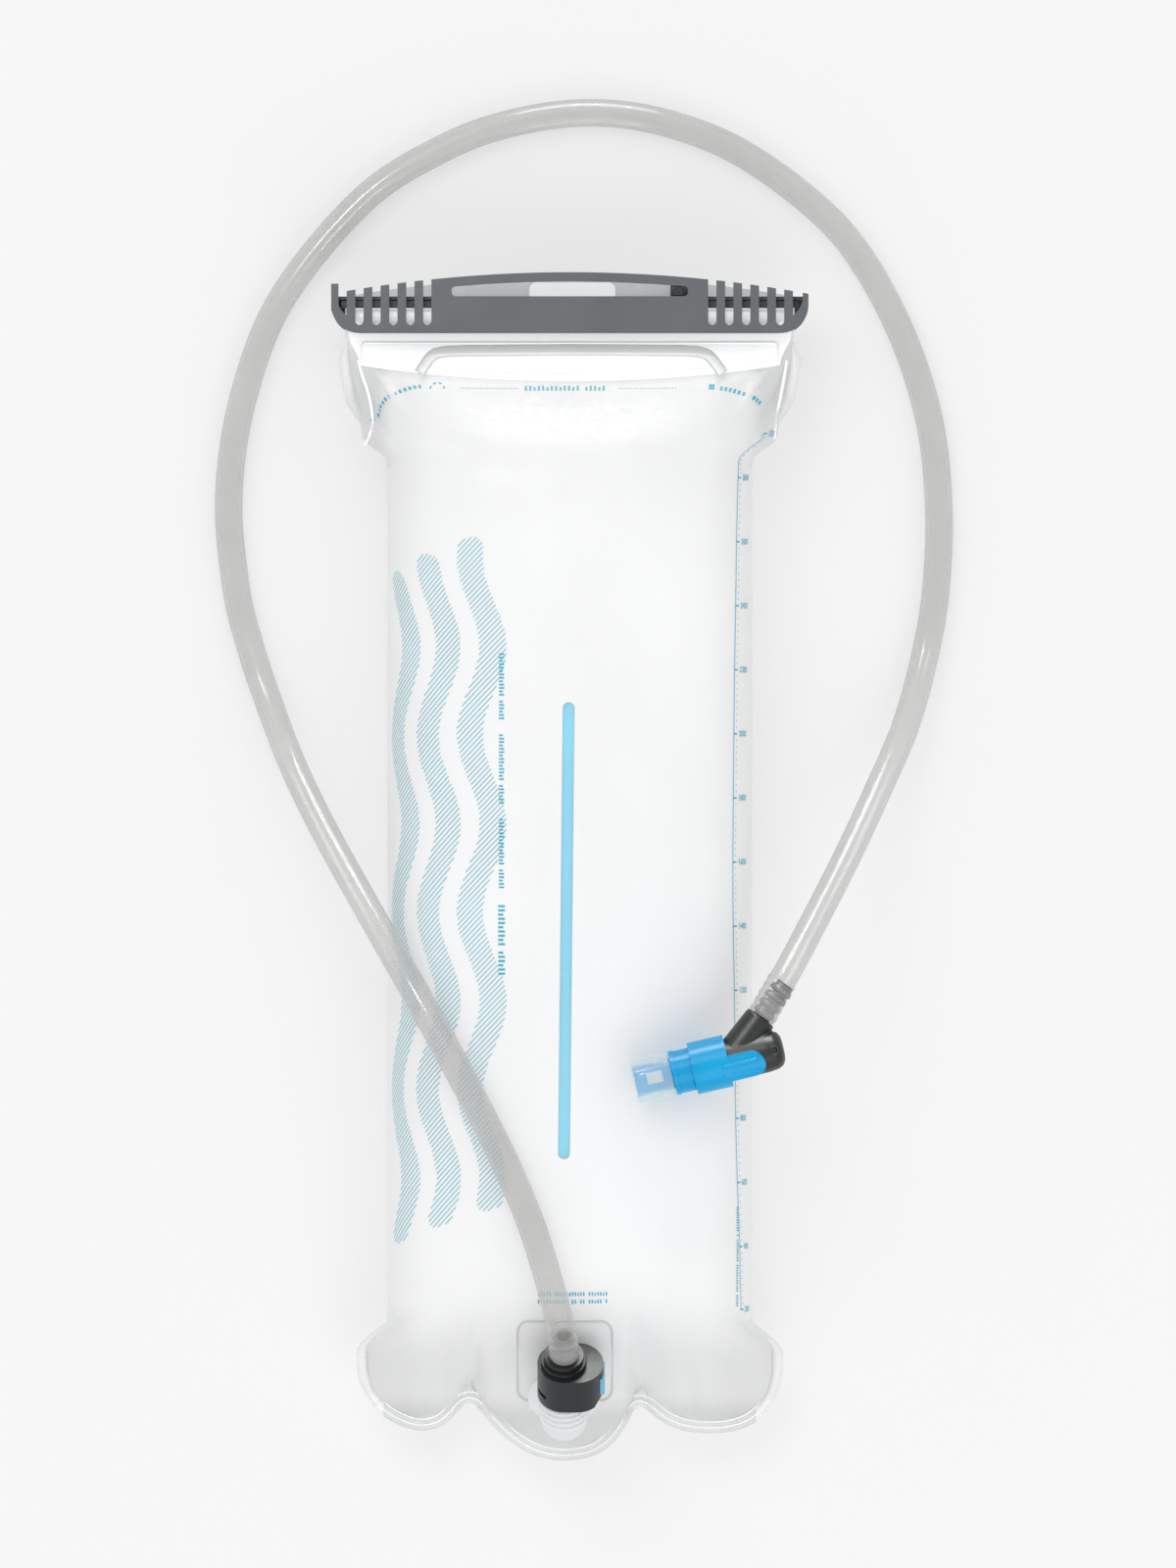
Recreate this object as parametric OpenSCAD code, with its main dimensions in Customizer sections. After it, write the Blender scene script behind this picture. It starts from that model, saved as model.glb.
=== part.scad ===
// Hydration reservoir: a soft film bag with a fold-and-slide closure, a drinking hose on a quick
// coupling, and a twist bite valve. It lies on its back, filled, with the hose laid round it.
// +X is to the right, +Y towards the closure, +Z up from the surface that it lies on.

/* [Reservoir] */
// Width of the filled body
bag_w = 130.6; // [124:0.2:136]
// Thickness of the filled body
bag_h = 74; // [72:0.5:78]
// Thickness of the film
film_t = 0.8; // [0.6:0.1:0.8]
// Width across the flattened mouth, under the clip
mouth_w = 160; // [156:1:160]
// Height of the closure above the surface
mouth_z = 33; // [33:0.5:33]
// Height of the bottom hem above the surface
hem_z = 20; // [18:0.5:22]
// Width of the welded hem
hem_w = 4; // [3:0.5:5]

/* [Clip] */
// Length of the slide clip
clip_l = 170.4; // [168:0.4:174]
// Height of the clip at the middle of its arched top
clip_h = 21.7; // [21:0.1:23]
// How far the top falls from the middle to the ends
clip_fall = 7.7; // [6:0.1:9]
// Depth of the clip, from back to front
clip_d = 20; // [20:0.5:21]
// Length of the slot in the handle
slot_l = 84.4; // [80:0.4:88]
// Number of ribs at each end
rib_count = 5; // [4:1:5]
// Distance from rib to rib
rib_pitch = 6.05; // [6:0.05:6.2]

/* [Port and coupling] */
// Tilt of the port's axis from upright
port_tilt = 43; // [41:1:45]
// Outer radius of the port's spigot
spigot_r = 6; // [5.8:0.1:6.2]
// Radial clearance of the sliding fits
fit_gap = 0.05; // [0.02:0.01:0.1]
// Outer radius of the coupling's housing
coupling_r = 9.4; // [9:0.1:9.8]
// Length of the coupling, from its skirt to its collar
coupling_l = 20.5; // [20:0.5:22]
// Travel of the release button
button_travel = 1.6; // [1:0.1:1.8]

/* [Hose and valve] */
// Outer diameter of the hose
hose_d = 10; // [9.5:0.1:10]
// Bore of the hose
hose_bore = 7.2; // [6.8:0.1:7.4]
// Height of the bite valve's axis above the surface
valve_z = 84.5; // [84:0.5:88]
// Direction of the bite valve's axis, seen from above
valve_turn = 12.9; // [10:0.1:16]
// Outer radius of the mouthpiece
mouth_r = 8.3; // [8:0.1:8.6]
// Outer radius of the twist collar
collar_r = 9.4; // [9:0.1:9.6]

/* [Hidden] */
$fn = 48;

film = "whitesmoke";
dark = "#4c5258";
blue = "#18a4ea";
clear = "#dfe6ea";

// Body of the bag: its length and its cross-section
top_y = 202.6;           // end of the film inside the clip
neck_y = 188.2;          // where the bag is flat under the clip
shoulder_y = 145;        // where the ears end
foot_y = -161;           // where the bottom corners begin
end_y = -197;            // end of the water space, before the lobes are added
round_n = 2.6;           // roundness of the section, 2 is an ellipse
side_z = 32;             // height of the widest line
tuck = 35;               // how far the side seam is tucked under, as an angle
flat_gain = 1.12;        // makes the part that rests on the surface truly flat
rows = 30;
columns = 30;

function ease(t) = let (c = min(1, max(0, t))) c * c * (3 - 2 * c);
function mix(a, b, t) = a + (b - a) * t;
function power(v, p) = sign(v) * pow(abs(v), p);
// The hem narrows to nearly nothing where the clip takes the mouth
function hem_at(y) = mix(hem_w, 0.4, ease((y - 180) / 9));
function at_foot(y) = ease((foot_y - y) / 14);
function at_shoulder(y) = ease((y - shoulder_y) / 9);
// The foot's corners are rounded
function corner(y) = let (t = min(1, max(0, (-180 - y) / 20))) 12 * (1 - sqrt(1 - t * t));
function half_w(y) = bag_w / 2 + at_foot(y) * 7 - corner(y) + at_shoulder(y) * 8.5
    + (mouth_w / 2 - bag_w / 2 - 8.5) * ease((y - shoulder_y) / 50);
function end_z(y) = y > 0 ? mouth_z : hem_z;
function swell(y) = y > 0 ? sin(90 * min(1, max(0, (neck_y - y) / 55)))
    : sin(90 * min(1, max(0, (y - end_y) / 62)));
function sag(y) = y > 0 ? sin(90 * min(1, max(0, (neck_y - y) / 45)))
    : sin(90 * min(1, max(0, (y - end_y) / 50)));
function high_z(y) = mix(end_z(y) + film_t + 0.1, bag_h, swell(y));
function low_z(y) = mix(end_z(y), film_t, sag(y));
function mid_z(y) = mix(end_z(y), side_z, sag(y));
function tuck_at(y) = tuck * ease((swell(y) - 0.45) / 0.5);

// The bottom edge is three round lobes with an arched notch between each two
lobes = [[-76, -178], [-74.5, -185], [-72.3, -190.6], [-69, -194.6], [-65.3, -197.6], [-59, -200.6], [-53, -201.8],
    [-47.5, -200.8], [-44, -198.8], [-41, -195.8], [-38.5, -193], [-36, -192], [-33.5, -193], [-30.5, -196.5],
    [-26, -201.5], [-20, -206.6], [-12, -210.9], [-2.3, -212.6], [8, -211], [15, -206.6], [19.5, -201], [22, -196],
    [24, -193.4], [26, -193.4], [28.5, -195], [33, -198.5], [39, -201.3], [45, -202.5], [53, -202.7], [60, -201.6],
    [66, -199], [71, -194.5], [73.3, -189], [75, -180]];
function hem_y(x) = lookup(x, lobes);
function drop(y, x_end) = pow(max(0, (-140 - y) / (-140 - end_y)), 2) * (hem_y(x_end) + hem_w + 1 - end_y);
function row_y(i) = let (s = i / rows) mix(top_y, end_y, 0.45 * s + 0.275 * (1 - cos(180 * s)));

// A point of the film: y along the bag, a the angle round its section, lift out of the surface
function film_x(y, a, lift) = (half_w(y) + lift) * power(cos(a), 2 / round_n);
function film_z(y, a, lift) = let (s = power(sin(a), 2 / round_n))
    s >= 0 ? mid_z(y) + (high_z(y) + lift - mid_z(y)) * s
        : mid_z(y) + (mid_z(y) - low_z(y)) * max(-1, flat_gain * s);
function film_y(y, a) = y + drop(y, film_x(end_y, a, 0));
function film_point(y, a, lift) = [film_x(y, a, lift), film_y(y, a), film_z(y, a, lift)];

// The closed skin between two grids of points that have the same rows and columns
module skin(outside, inside) {
    r = len(outside);
    c = len(outside[0]);
    n = r * c;
    points = [for (grid = [outside, inside]) for (line = grid) for (p = line) p];
    sheet = [for (i = [0:r - 2]) for (j = [0:c - 2]) each
        [[i * c + j, i * c + j + 1, i * c + j + c + 1], [i * c + j, i * c + j + c + 1, i * c + j + c]]];
    rim = concat([for (j = [0:c - 2]) [j + 1, j]], [for (i = [0:r - 2]) [i * c, i * c + c]],
        [for (j = [0:c - 2]) [(r - 1) * c + j, (r - 1) * c + j + 1]],
        [for (i = [0:r - 2]) [i * c + 2 * c - 1, i * c + c - 1]]);
    faces = concat(sheet, [for (f = sheet) [n + f[2], n + f[1], n + f[0]]],
        [for (e = rim) each [[e[0], e[1], n + e[1]], [e[0], n + e[1], n + e[0]]]]);
    polyhedron(points = points, faces = faces, convexity = 10);
}

function hem_line(a, z) = let (x = film_x(end_y, a, 0)) [x, hem_y(x), z];

// Port: an elbow whose tube runs up along the film
port_at = [-2.1, -195.9, 49.7];
port_lean = 48;          // slope of the film under the port
port_stand = 9.9;        // from the flange to the tube's axis
module on_port() translate(port_at) rotate([-port_tilt, 0, 0]) children();
module on_flange() translate(port_at) rotate([port_lean, 0, 0]) translate([0, 0, -port_stand]) children();
neck_l = 13;             // length of the ribbed neck
neck_r = 8.2;            // its outer radius
water_r = 4.2;           // bore of the port
skirt_w = 13.4;          // where the coupling's skirt begins along the port's axis

// Bite valve: its axis runs from the tip of the mouthpiece to the rounded end of the elbow
tip_at = [22.6, -75.8, valve_z];
module on_valve() translate(tip_at) rotate([0, 0, valve_turn]) rotate([0, 90, 0]) children();
elbow_s = 35;            // along the axis to the neck
elbow_turn = 53.7;       // direction of the neck, seen from above
elbow_l = 18.9;          // length of the neck, to the face that the hose meets
elbow_at = [tip_at[0] + elbow_s * cos(valve_turn), tip_at[1] + elbow_s * sin(valve_turn), valve_z];
module on_elbow() translate(elbow_at) rotate([0, 0, elbow_turn]) rotate([0, 90, 0]) children();

// The hose's route, from the coupling round the closure to the bite valve
hose_in = 30;            // where the hose begins along the port's axis
hose_start = port_at + hose_in * [0, sin(port_tilt), cos(port_tilt)];
hose_end = elbow_at + elbow_l * [cos(elbow_turn), sin(elbow_turn), 0];
route = [[-2.2, -169.4, 77.6], [-3.8, -159.5, 83], [-8, -144, 84.8], [-14.5, -124, 82.5], [-25, -100, 80],
    [-40, -71, 77.5], [-55, -44, 71], [-70, -18, 58], [-87, 12, 38], [-99, 36, 21], [-108, 59, 10.5],
    [-115, 80, 6.2], [-120, 101, 5.2], [-122.5, 134, 5.2], [-117, 170, 5.2], [-103, 205, 5.2],
    [-74, 240, 5.2], [-45, 258.5, 5.2], [-20, 267.5, 5.2], [6.5, 271, 5.2], [32, 268, 5.2],
    [59, 258, 5.2], [85, 240, 5.2], [103, 221, 5.2], [119, 192, 5.2], [129, 161, 5.2], [132.5, 130, 5.2],
    [131.5, 100, 5.2], [127.5, 76, 6.5], [120.5, 51, 13], [110, 27, 25.5], [99.5, 5, 42], [88, -17, 61],
    [78.5, -34.5, 76], [71.5, -46.5, 83.5]];
knots = concat([hose_start], route, [hose_end]);
first_knot = hose_start - 6 * [0, sin(port_tilt), cos(port_tilt)];
last_knot = hose_end - 6 * [cos(elbow_turn), sin(elbow_turn), 0];
hose_sides = 10;
ring_steps = 2;

// A smooth curve through the knots: each span is a cubic between two of them
function knot(i) = i < 0 ? first_knot : i >= len(knots) ? last_knot : knots[i];
function along(i, t) = let (p0 = knot(i - 1), p1 = knot(i), p2 = knot(i + 1), p3 = knot(i + 2))
    0.5 * (2 * p1 + (p2 - p0) * t + (2 * p0 - 5 * p1 + 4 * p2 - p3) * t * t
        + (3 * p1 - p0 - 3 * p2 + p3) * t * t * t);
line = concat([for (i = [0:len(knots) - 2]) for (k = [0:ring_steps - 1]) along(i, k / ring_steps)],
    [hose_end]);
function unit(v) = v / norm(v);
function heading(i) = i == 0 ? unit(hose_start - first_knot)
    : i == len(line) - 1 ? unit(last_knot - hose_end) : unit(line[i + 1] - line[i - 1]);
// Each ring stands square to the line, with one axis kept level
function ring(i, r) = let (d = heading(i), side = unit(cross(d, [0, 0, 1])), up = cross(side, d))
    [for (k = [0:hose_sides - 1]) let (a = 360 * (k + 0.5) / hose_sides)
        line[i] + r * (cos(a) * side + sin(a) * up)];

// A helix of round wire, from z = 0 upward
module coil_spring(r, wire, turns, h) {
    sides = 6;
    per_turn = 12;
    steps = turns * per_turn;
    points = [for (i = [0:steps]) let (a = 360 * i / per_turn, z = wire / 2 + (h - wire) * i / steps)
        for (k = [0:sides - 1]) let (b = 360 * k / sides, q = r + wire / 2 * cos(b))
            [q * cos(a), q * sin(a), z + wire / 2 * sin(b)]];
    walls = [for (i = [0:steps - 1]) for (k = [0:sides - 1]) let (m = (k + 1) % sides) each
        [[i * sides + k, (i + 1) * sides + k, (i + 1) * sides + m],
            [i * sides + k, (i + 1) * sides + m, i * sides + m]]];
    caps = [for (k = [1:sides - 2]) each [[0, k, k + 1], [steps * sides, steps * sides + k + 1, steps * sides + k]]];
    polyhedron(points = points, faces = concat(walls, caps), convexity = 10);
}

// A barbed tail: a tube with a plain foot, and shallow cones that grip the hose
module barbed_tail(foot, pitch, count) {
    difference() {
        union() {
            cylinder(r = tail_r, h = foot + pitch * count + 1);
            for (k = [0:count - 1])
                translate([0, 0, foot + k * pitch + 1]) cylinder(r1 = tail_r + 0.5, r2 = tail_r, h = pitch - 0.8);
        }
        translate([0, 0, -1]) cylinder(r = tail_r - 1, h = foot + pitch * count + 3);
    }
}

// A circle drawn out along X
module oval(r, stretch) {
    circle(r);
    translate([stretch, 0]) circle(r);
    translate([0, -r]) square([stretch, 2 * r]);
}

// Film of the front, from seam to seam over the top
module front_panel() {
    angles = [for (y = [for (i = [0:rows]) row_y(i)])
        [for (j = [0:columns]) mix(180 + tuck_at(y), -tuck_at(y), j / columns)]];
    ends = angles[rows];
    outside = concat([for (i = [0:rows]) [for (a = angles[i]) film_point(row_y(i), a, 0)]],
        [[for (a = ends) hem_line(a, hem_z + film_t)]]);
    inside = concat([for (i = [0:rows]) [for (a = angles[i]) film_point(row_y(i), a, -film_t)]],
        [[for (a = ends) hem_line(a, hem_z)]]);
    color(film) difference() {
        skin(outside, inside);
        on_flange() translate([0, 0, -12]) cylinder(r = water_r, h = 24, $fn = 12);
    }
}

// Film of the back, flat where the bag rests, with the hem that both films share
module back_panel() {
    function inner(i) = let (y = row_y(i), s = tuck_at(y))
        let (path = [for (j = [0:columns]) film_point(y, mix(180 + s, 360 - s, j / columns), 0)])
            concat([path[0] - [hem_at(y), 0, 0]], path, [path[columns] + [hem_at(y), 0, 0]]);
    last = inner(rows);
    grid = concat([for (i = [0:rows]) inner(i)],
        [[for (p = last) [p[0], hem_y(p[0]), hem_z]]]);
    color(film) skin(grid, [for (line = grid) [for (p = line) p - [0, 0, film_t]]]);
}

// Folded mouth: both films doubled over to the front and down
flap_rows = 8;
function flap_edge(x) = 174.1 + 5.6 * pow(x / 75, 2);
function flap_half(y) = 75.2 + 4 * ease((y - 178) / 12);
function flap_lift(y) = 0.7 + 0.8 * ease((194 - y) / 8);
function front_z(x, y) = mid_z(y) + (high_z(y) - mid_z(y)) * pow(1 - pow(min(0.98, abs(x) / half_w(y)), round_n), 1 / round_n);
function flap_point(i, j, lift) = let (t = i / flap_rows, side = 2 * j / columns - 1,
    x = side * flap_half(mix(top_y, 178, t)), y = mix(top_y, flap_edge(x), t))
    [x, y, front_z(x, y) + flap_lift(y) + lift];
module mouth_flap() {
    color(film) skin([for (i = [0:flap_rows]) [for (j = [0:columns]) flap_point(i, j, 1.2)]],
        [for (i = [0:flap_rows]) [for (j = [0:columns]) flap_point(i, j, 0)]]);
}

// Translucent band that keeps the folded mouth straight
band = [[-53.6, 176.4], [-51.6, 179.8], [-49.4, 182.7], [-46, 184.3], [-40, 184.6], [-20, 184.8], [0, 184.9],
    [20, 184.8], [40, 184.6], [46.6, 184.2], [50, 182.6], [52.4, 179.8], [54.6, 176.2]];
band_w = 3.5;
module flap_stiffener() {
    function edge(k, side, lift) = let (a = band[max(0, k - 1)], b = band[min(len(band) - 1, k + 1)],
        d = (b - a) / norm(b - a), p = band[k] + side * band_w / 2 * [-d[1], d[0]])
        [p[0], p[1], front_z(p[0], p[1]) + flap_lift(p[1]) + 1.9 + lift];
    color("lightgrey") skin([for (side = [1, -1]) [for (k = [0:len(band) - 1]) edge(k, side, 0.7)]],
        [for (side = [1, -1]) [for (k = [0:len(band) - 1]) edge(k, side, 0)]]);
}

// Rails on each side of the folded film, which the clip slides over
rail_x = -81.9;
rail_l = 163.4;
rail_y = 200;
rail_w = 2.6;
module rail(z0, z1) {
    translate([rail_x, rail_y, z0]) cube([rail_l, rail_w, z1 - z0]);
}
module front_rail() {
    color(dark) rail(mouth_z + 2.9, mouth_z + 6.6);
}
module rear_rail() {
    color(dark) rail(mouth_z - 6, mouth_z - film_t);
}

// Tab behind the clip, welded to the back film, with the hole that a hook goes through
tab_z = 21;
tab_t = 1.2;
tab_hole = [-14.5, 16.3, 203, 209.6];
module rounded(x0, x1, y0, y1, r) {
    translate([x0 + r, y0]) square([x1 - x0 - 2 * r, y1 - y0]);
    translate([x0, y0 + r]) square([x1 - x0, y1 - y0 - 2 * r]);
    for (x = [x0 + r, x1 - r], y = [y0 + r, y1 - r]) translate([x, y]) circle(r);
}
module hang_tab() {
    color(clear) translate([0, 0, tab_z]) linear_extrude(tab_t) difference() {
        intersection() {
            rounded(-78, 78, 181.1, 211.4, 4);
            translate([0, 211.4 - arch_r]) circle(arch_r, $fn = 200);
        }
        rounded(tab_hole[0], tab_hole[1], tab_hole[2], tab_hole[3], 2.5);
    }
}

// Zip strips inside the bag, which hold the front and back together for a flatter shape
strip_l = 162;
strip_w = 4.2;
strip_y = -22.2;
module strip(h) {
    translate([-1.2, strip_y, 0]) rotate([0, 0, 89.4]) translate([-(strip_l - strip_w) / 2, 0, 0]) linear_extrude(h)
        oval(strip_w / 2, strip_l - strip_w);
}
module front_baffle_strip() {
    color("skyblue") translate([0, 0, bag_h - film_t - 3.5]) difference() {
        strip(3.2);
        translate([-1.2, strip_y, -1]) rotate([0, 0, 89.4]) cube([strip_l + 2, 1.2, 4.4], center = true);
    }
}
module rear_baffle_strip() {
    color("skyblue") translate([0, 0, film_t + 0.1]) {
        strip(1.4);
        translate([-1.2, strip_y, 2.4]) rotate([0, 0, 89.4]) cube([strip_l - 6, 1, 2.4], center = true);
    }
}

// Reinforcing patch welded on the film round the port
patch_rows = 10;
module port_patch() {
    function patch(lift) = [for (i = [0:patch_rows]) let (y = mix(-161.5, -191, i / patch_rows), w = film_x(y, 0, 0))
        [for (j = [0:patch_rows]) let (x = mix(-18.7, 15.2, j / patch_rows), a = acos(power(x / w, round_n / 2)))
            film_point(y, a, 0.3 + lift)]];
    color(clear) difference() {
        skin(patch(0.5), patch(0));
        on_flange() translate([0, 0, -12]) cylinder(r = water_r, h = 24, $fn = 12);
    }
}

// Soft elbow with a welded flange and a ribbed neck
module port_neck() {
    color(clear) difference() {
        union() {
            on_flange() cylinder(r = 12.8, h = 1.6);
            on_flange() cylinder(r = neck_r, h = port_stand);
            translate(port_at) sphere(neck_r + 0.2);
            on_port() cylinder(r = neck_r - 0.1, h = neck_l);
            on_port() for (k = [0:3]) translate([0, 0, 2.6 + 2.7 * k]) cylinder(r = neck_r + 0.9, h = 1.3);
        }
        on_flange() translate([0, 0, -1]) cylinder(r = water_r, h = port_stand + 1);
        on_port() cylinder(r = water_r, h = neck_l + 1);
        translate(port_at) sphere(water_r + 0.15);
        on_port() translate([0, 0, 2]) cylinder(r = spigot_r, h = neck_l);
    }
}

// Rigid spigot pressed into the neck: a seat above, a guide below, and grooves outside
seat_w = 20;
module port_insert() {
    color("white") on_port() difference() {
        translate([0, 0, 2]) cylinder(r = spigot_r, h = 22.4);
        translate([0, 0, 4.5]) cylinder(r = water_r, h = seat_w - 4.5);
        translate([0, 0, seat_w - 1]) cylinder(r = 2.8, h = 8);
        translate([0, 0, 1]) cylinder(r = 1.25, h = 5);
        for (a = [0:120:240]) rotate([0, 0, a]) translate([2.8, 0, 1]) cylinder(r = 1.1, h = 5);
        translate([0, 0, 21.9]) ring_cut(spigot_r + 1, 4.6, 1.6);
        translate([0, 0, 17.6]) ring_cut(spigot_r + 1, 5.2, 1.6);
    }
}
module ring_cut(r_out, r_in, h) {
    difference() {
        cylinder(r = r_out, h = h);
        translate([0, 0, -1]) cylinder(r = r_in, h = h + 2);
    }
}
module port_oring() {
    color("#222222") on_port() translate([0, 0, 22.7]) rotate_extrude() translate([5.32, 0]) circle(0.7, $fn = 24);
}

// Shut-off poppet, held open by the coupling's pin
module port_poppet() {
    color("white") on_port() {
        translate([0, 0, 1.5]) cylinder(r = 1.2, h = 21.5);
        translate([0, 0, 16.2]) cylinder(r = 3.7, h = 1.8);
    }
}
module poppet_spring() {
    color("silver") on_port() translate([0, 0, 4.6]) coil_spring(2.7, 0.5, 5, 11.5);
}

// Clip: arched outline, seen from the front
clip_y = 190.9;
arch_r = (pow(clip_l / 2, 2) + pow(clip_fall, 2)) / (2 * clip_fall);
corner_r = 10;
face_z = mouth_z + 10.5;
back_z = face_z - clip_d;
wall = 3.5;
back_t = 3;
web_y = 202.9;
slot_y = 13.1;           // foot of the handle slot, above the clip's foot
module arch(extra) {
    intersection() {
        translate([-clip_l / 2, 0]) square([clip_l, clip_h + extra]);
        translate([0, clip_h + extra - arch_r]) circle(arch_r, $fn = 200);
    }
}
// The two lower corners are quarter circles
module clip_outline(extra) {
    difference() {
        arch(extra);
        for (side = [0, 1]) mirror([side, 0]) translate([-clip_l / 2, 0]) difference() {
            translate([-1, -1]) square(corner_r + 1);
            translate([corner_r, corner_r]) circle(corner_r);
        }
    }
}
rib_x = 53.9;            // centre of the rib next to the plain middle
slot_w = rib_pitch - 3.1;
module rib_slots() {
    for (side = [0, 1], k = [0:rib_count - 1]) mirror([side, 0])
        translate([rib_x - rib_pitch / 2 + k * rib_pitch, 2.9 + slot_w / 2]) {
            circle(slot_w / 2);
            translate([-slot_w / 2, 0]) square([slot_w, clip_h]);
        }
}
module end_slots() {
    for (side = [0, 1]) mirror([side, 0])
        intersection() {
            translate([rib_x + (rib_count - 0.5) * rib_pitch - slot_w / 2, 4.5]) square([slot_w + 0.8, clip_h]);
            translate([clip_l / 2 - corner_r - 0.5, corner_r + 3.2]) circle(corner_r - 1.5);
        }
}
module handle_slot() {
    offset(1.5) offset(-1.5) intersection() {
        translate([-slot_l / 2, slot_y]) square([slot_l, 8]);
        translate([0, clip_h - 3.2 - arch_r]) circle(arch_r, $fn = 200);
    }
}
module clip_front() {
    color(dark) translate([0, clip_y, 0]) {
        translate([0, 0, face_z - wall]) linear_extrude(wall) difference() {
            clip_outline(0);
            rib_slots();
            end_slots();
            handle_slot();
        }
        // Front lip behind the foot of the plate
        translate([-clip_l / 2 + corner_r, 0, mouth_z + 3.9]) cube([clip_l - 2 * corner_r, 2.6, 3.2]);
        // Stop blade at the left end
        translate([-clip_l / 2, 8, mouth_z + 7]) cube([2.6, 9.6, wall]);
    }
}
module clip_rear() {
    color(dark) translate([0, clip_y, 0]) {
        translate([0, 0, back_z]) linear_extrude(back_t) {
            intersection() {
                clip_outline(0);
                translate([-clip_l / 2, 0]) square([clip_l, slot_y]);
            }
            translate([36, slot_y - 1]) square([8, 6]);
        }
        // Web over the rails, lip under the rear rail, and the closed left end
        translate([-clip_l / 2 + 1, web_y - clip_y, back_z + 1])
            cube([clip_l - 2, slot_y + clip_y - web_y, clip_d - wall - 1]);
        translate([-clip_l / 2 + corner_r, 0, back_z + 1]) cube([clip_l - 2 * corner_r, 8.8, 5.8]);
        translate([-clip_l / 2, 8, back_z + 1]) cube([2.9, slot_y - 8, clip_d - wall - 1]);
    }
}

// Stud at the end of the handle slot, which ties the clip's tether
module tether_stud() {
    color("#26282a") translate([38.5, clip_y + slot_y + 1.85, back_z + back_t]) {
        cylinder(r = 1.2, h = clip_d - back_t - 1);
        translate([-0.6, 0, clip_d - back_t - 2.6]) linear_extrude(2.2) oval(1.7, 1.2);
    }
}

// Coupling: a housing round the spigot, with a window for the release button
button_w0 = 17.2;
button_h = 8.4;
socket_w = 24.8;         // floor of the socket that takes the spigot
tail_w = 26.4;           // foot of the barbed tail
tail_r = 3.3;
module coupling_housing() {
    top = skirt_w + coupling_l;
    color(dark) on_port() {
        difference() {
            union() {
                translate([0, 0, skirt_w]) linear_extrude(coupling_l - 4.4) oval(coupling_r, 4.7);
                translate([0, 0, top - 4.5]) cylinder(r = 8.1, h = 2.4);
                translate([0, 0, top - 2.2]) cylinder(r = 7.1, h = 2.2);
            }
            translate([0, 0, skirt_w - 1]) cylinder(r = spigot_r + fit_gap, h = socket_w - skirt_w + 1);
            for (a = [0:120:240]) rotate([0, 0, a]) translate([2, 0, 24]) cylinder(r = 0.8, h = 4);
            translate([0, 0, tail_w]) cylinder(r = tail_r, h = 8);
            translate([0, 0, hose_in]) cylinder(r = hose_d / 2 + 0.1, h = 8);
            // Window and slot of the latch, which breaks out at the left
            translate([8.3, -4.6, button_w0]) cube([8, 9.2, button_h]);
            translate([-9, -6.9, button_w0 + 0.2]) cube([18.1, 13.8, 1.8]);
            // Scallop of the skirt under the button
            translate([15, 20, skirt_w - 1.5]) rotate([90, 0, 0]) cylinder(r = 4.2, h = 40);
        }
        // Pin that holds the poppet open
        translate([0, 0, 23.05]) cylinder(r = 1, h = socket_w - 22.8);
    }
}
module release_button() {
    color("#8fc4e6") on_port() {
        translate([10.4, -4.4, button_w0 + 0.2]) cube([4.2, 8.8, button_h - 0.4]);
        // Latch plate round the spigot
        translate([0, 0, button_w0 + 0.4]) linear_extrude(1.4) difference() {
            union() {
                intersection() {
                    circle(7.9);
                    translate([-7.2, -6.7]) square([7.3, 13.4]);
                }
                translate([0, -6.7]) square([8.9, 13.4]);
                translate([8, -4.4]) square([3, 8.8]);
            }
            oval(spigot_r + 0.12, button_travel + 0.1);
        }
    }
}
module button_spring() {
    color("silver") on_port() translate([8.35, 0, button_w0 + 5.2]) rotate([0, 90, 0])
        coil_spring(1.6, 0.4, 3, 2);
}
// Its foot sits in the housing, and its barbs are inside the hose
module coupling_barb() {
    color(dark) on_port() translate([0, 0, tail_w]) barbed_tail(hose_in - tail_w + 0.3, 3.1, 4);
}

// Hose: one tube along its route
module hose() {
    n = len(line);
    m = hose_sides;
    points = concat([for (i = [0:n - 1]) each ring(i, hose_d / 2)], [for (i = [0:n - 1]) each ring(i, hose_bore / 2)]);
    function wall_faces(first, flip) = [for (i = [0:n - 2]) for (k = [0:m - 1])
        let (a = first + i * m + k, b = first + i * m + (k + 1) % m) each
            flip ? [[a, b, b + m], [a, b + m, a + m]] : [[b, a, b + m], [b + m, a, a + m]]];
    function end_faces(i, flip) = [for (k = [0:m - 1])
        let (a = i * m + k, b = i * m + (k + 1) % m, c = a + n * m, d = b + n * m) each
            flip ? [[a, b, d], [a, d, c]] : [[b, a, d], [d, a, c]]];
    color(clear) polyhedron(points = points, faces = concat(wall_faces(0, false), wall_faces(n * m, true),
        end_faces(0, true), end_faces(n - 1, false)), convexity = 20);
}

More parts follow.
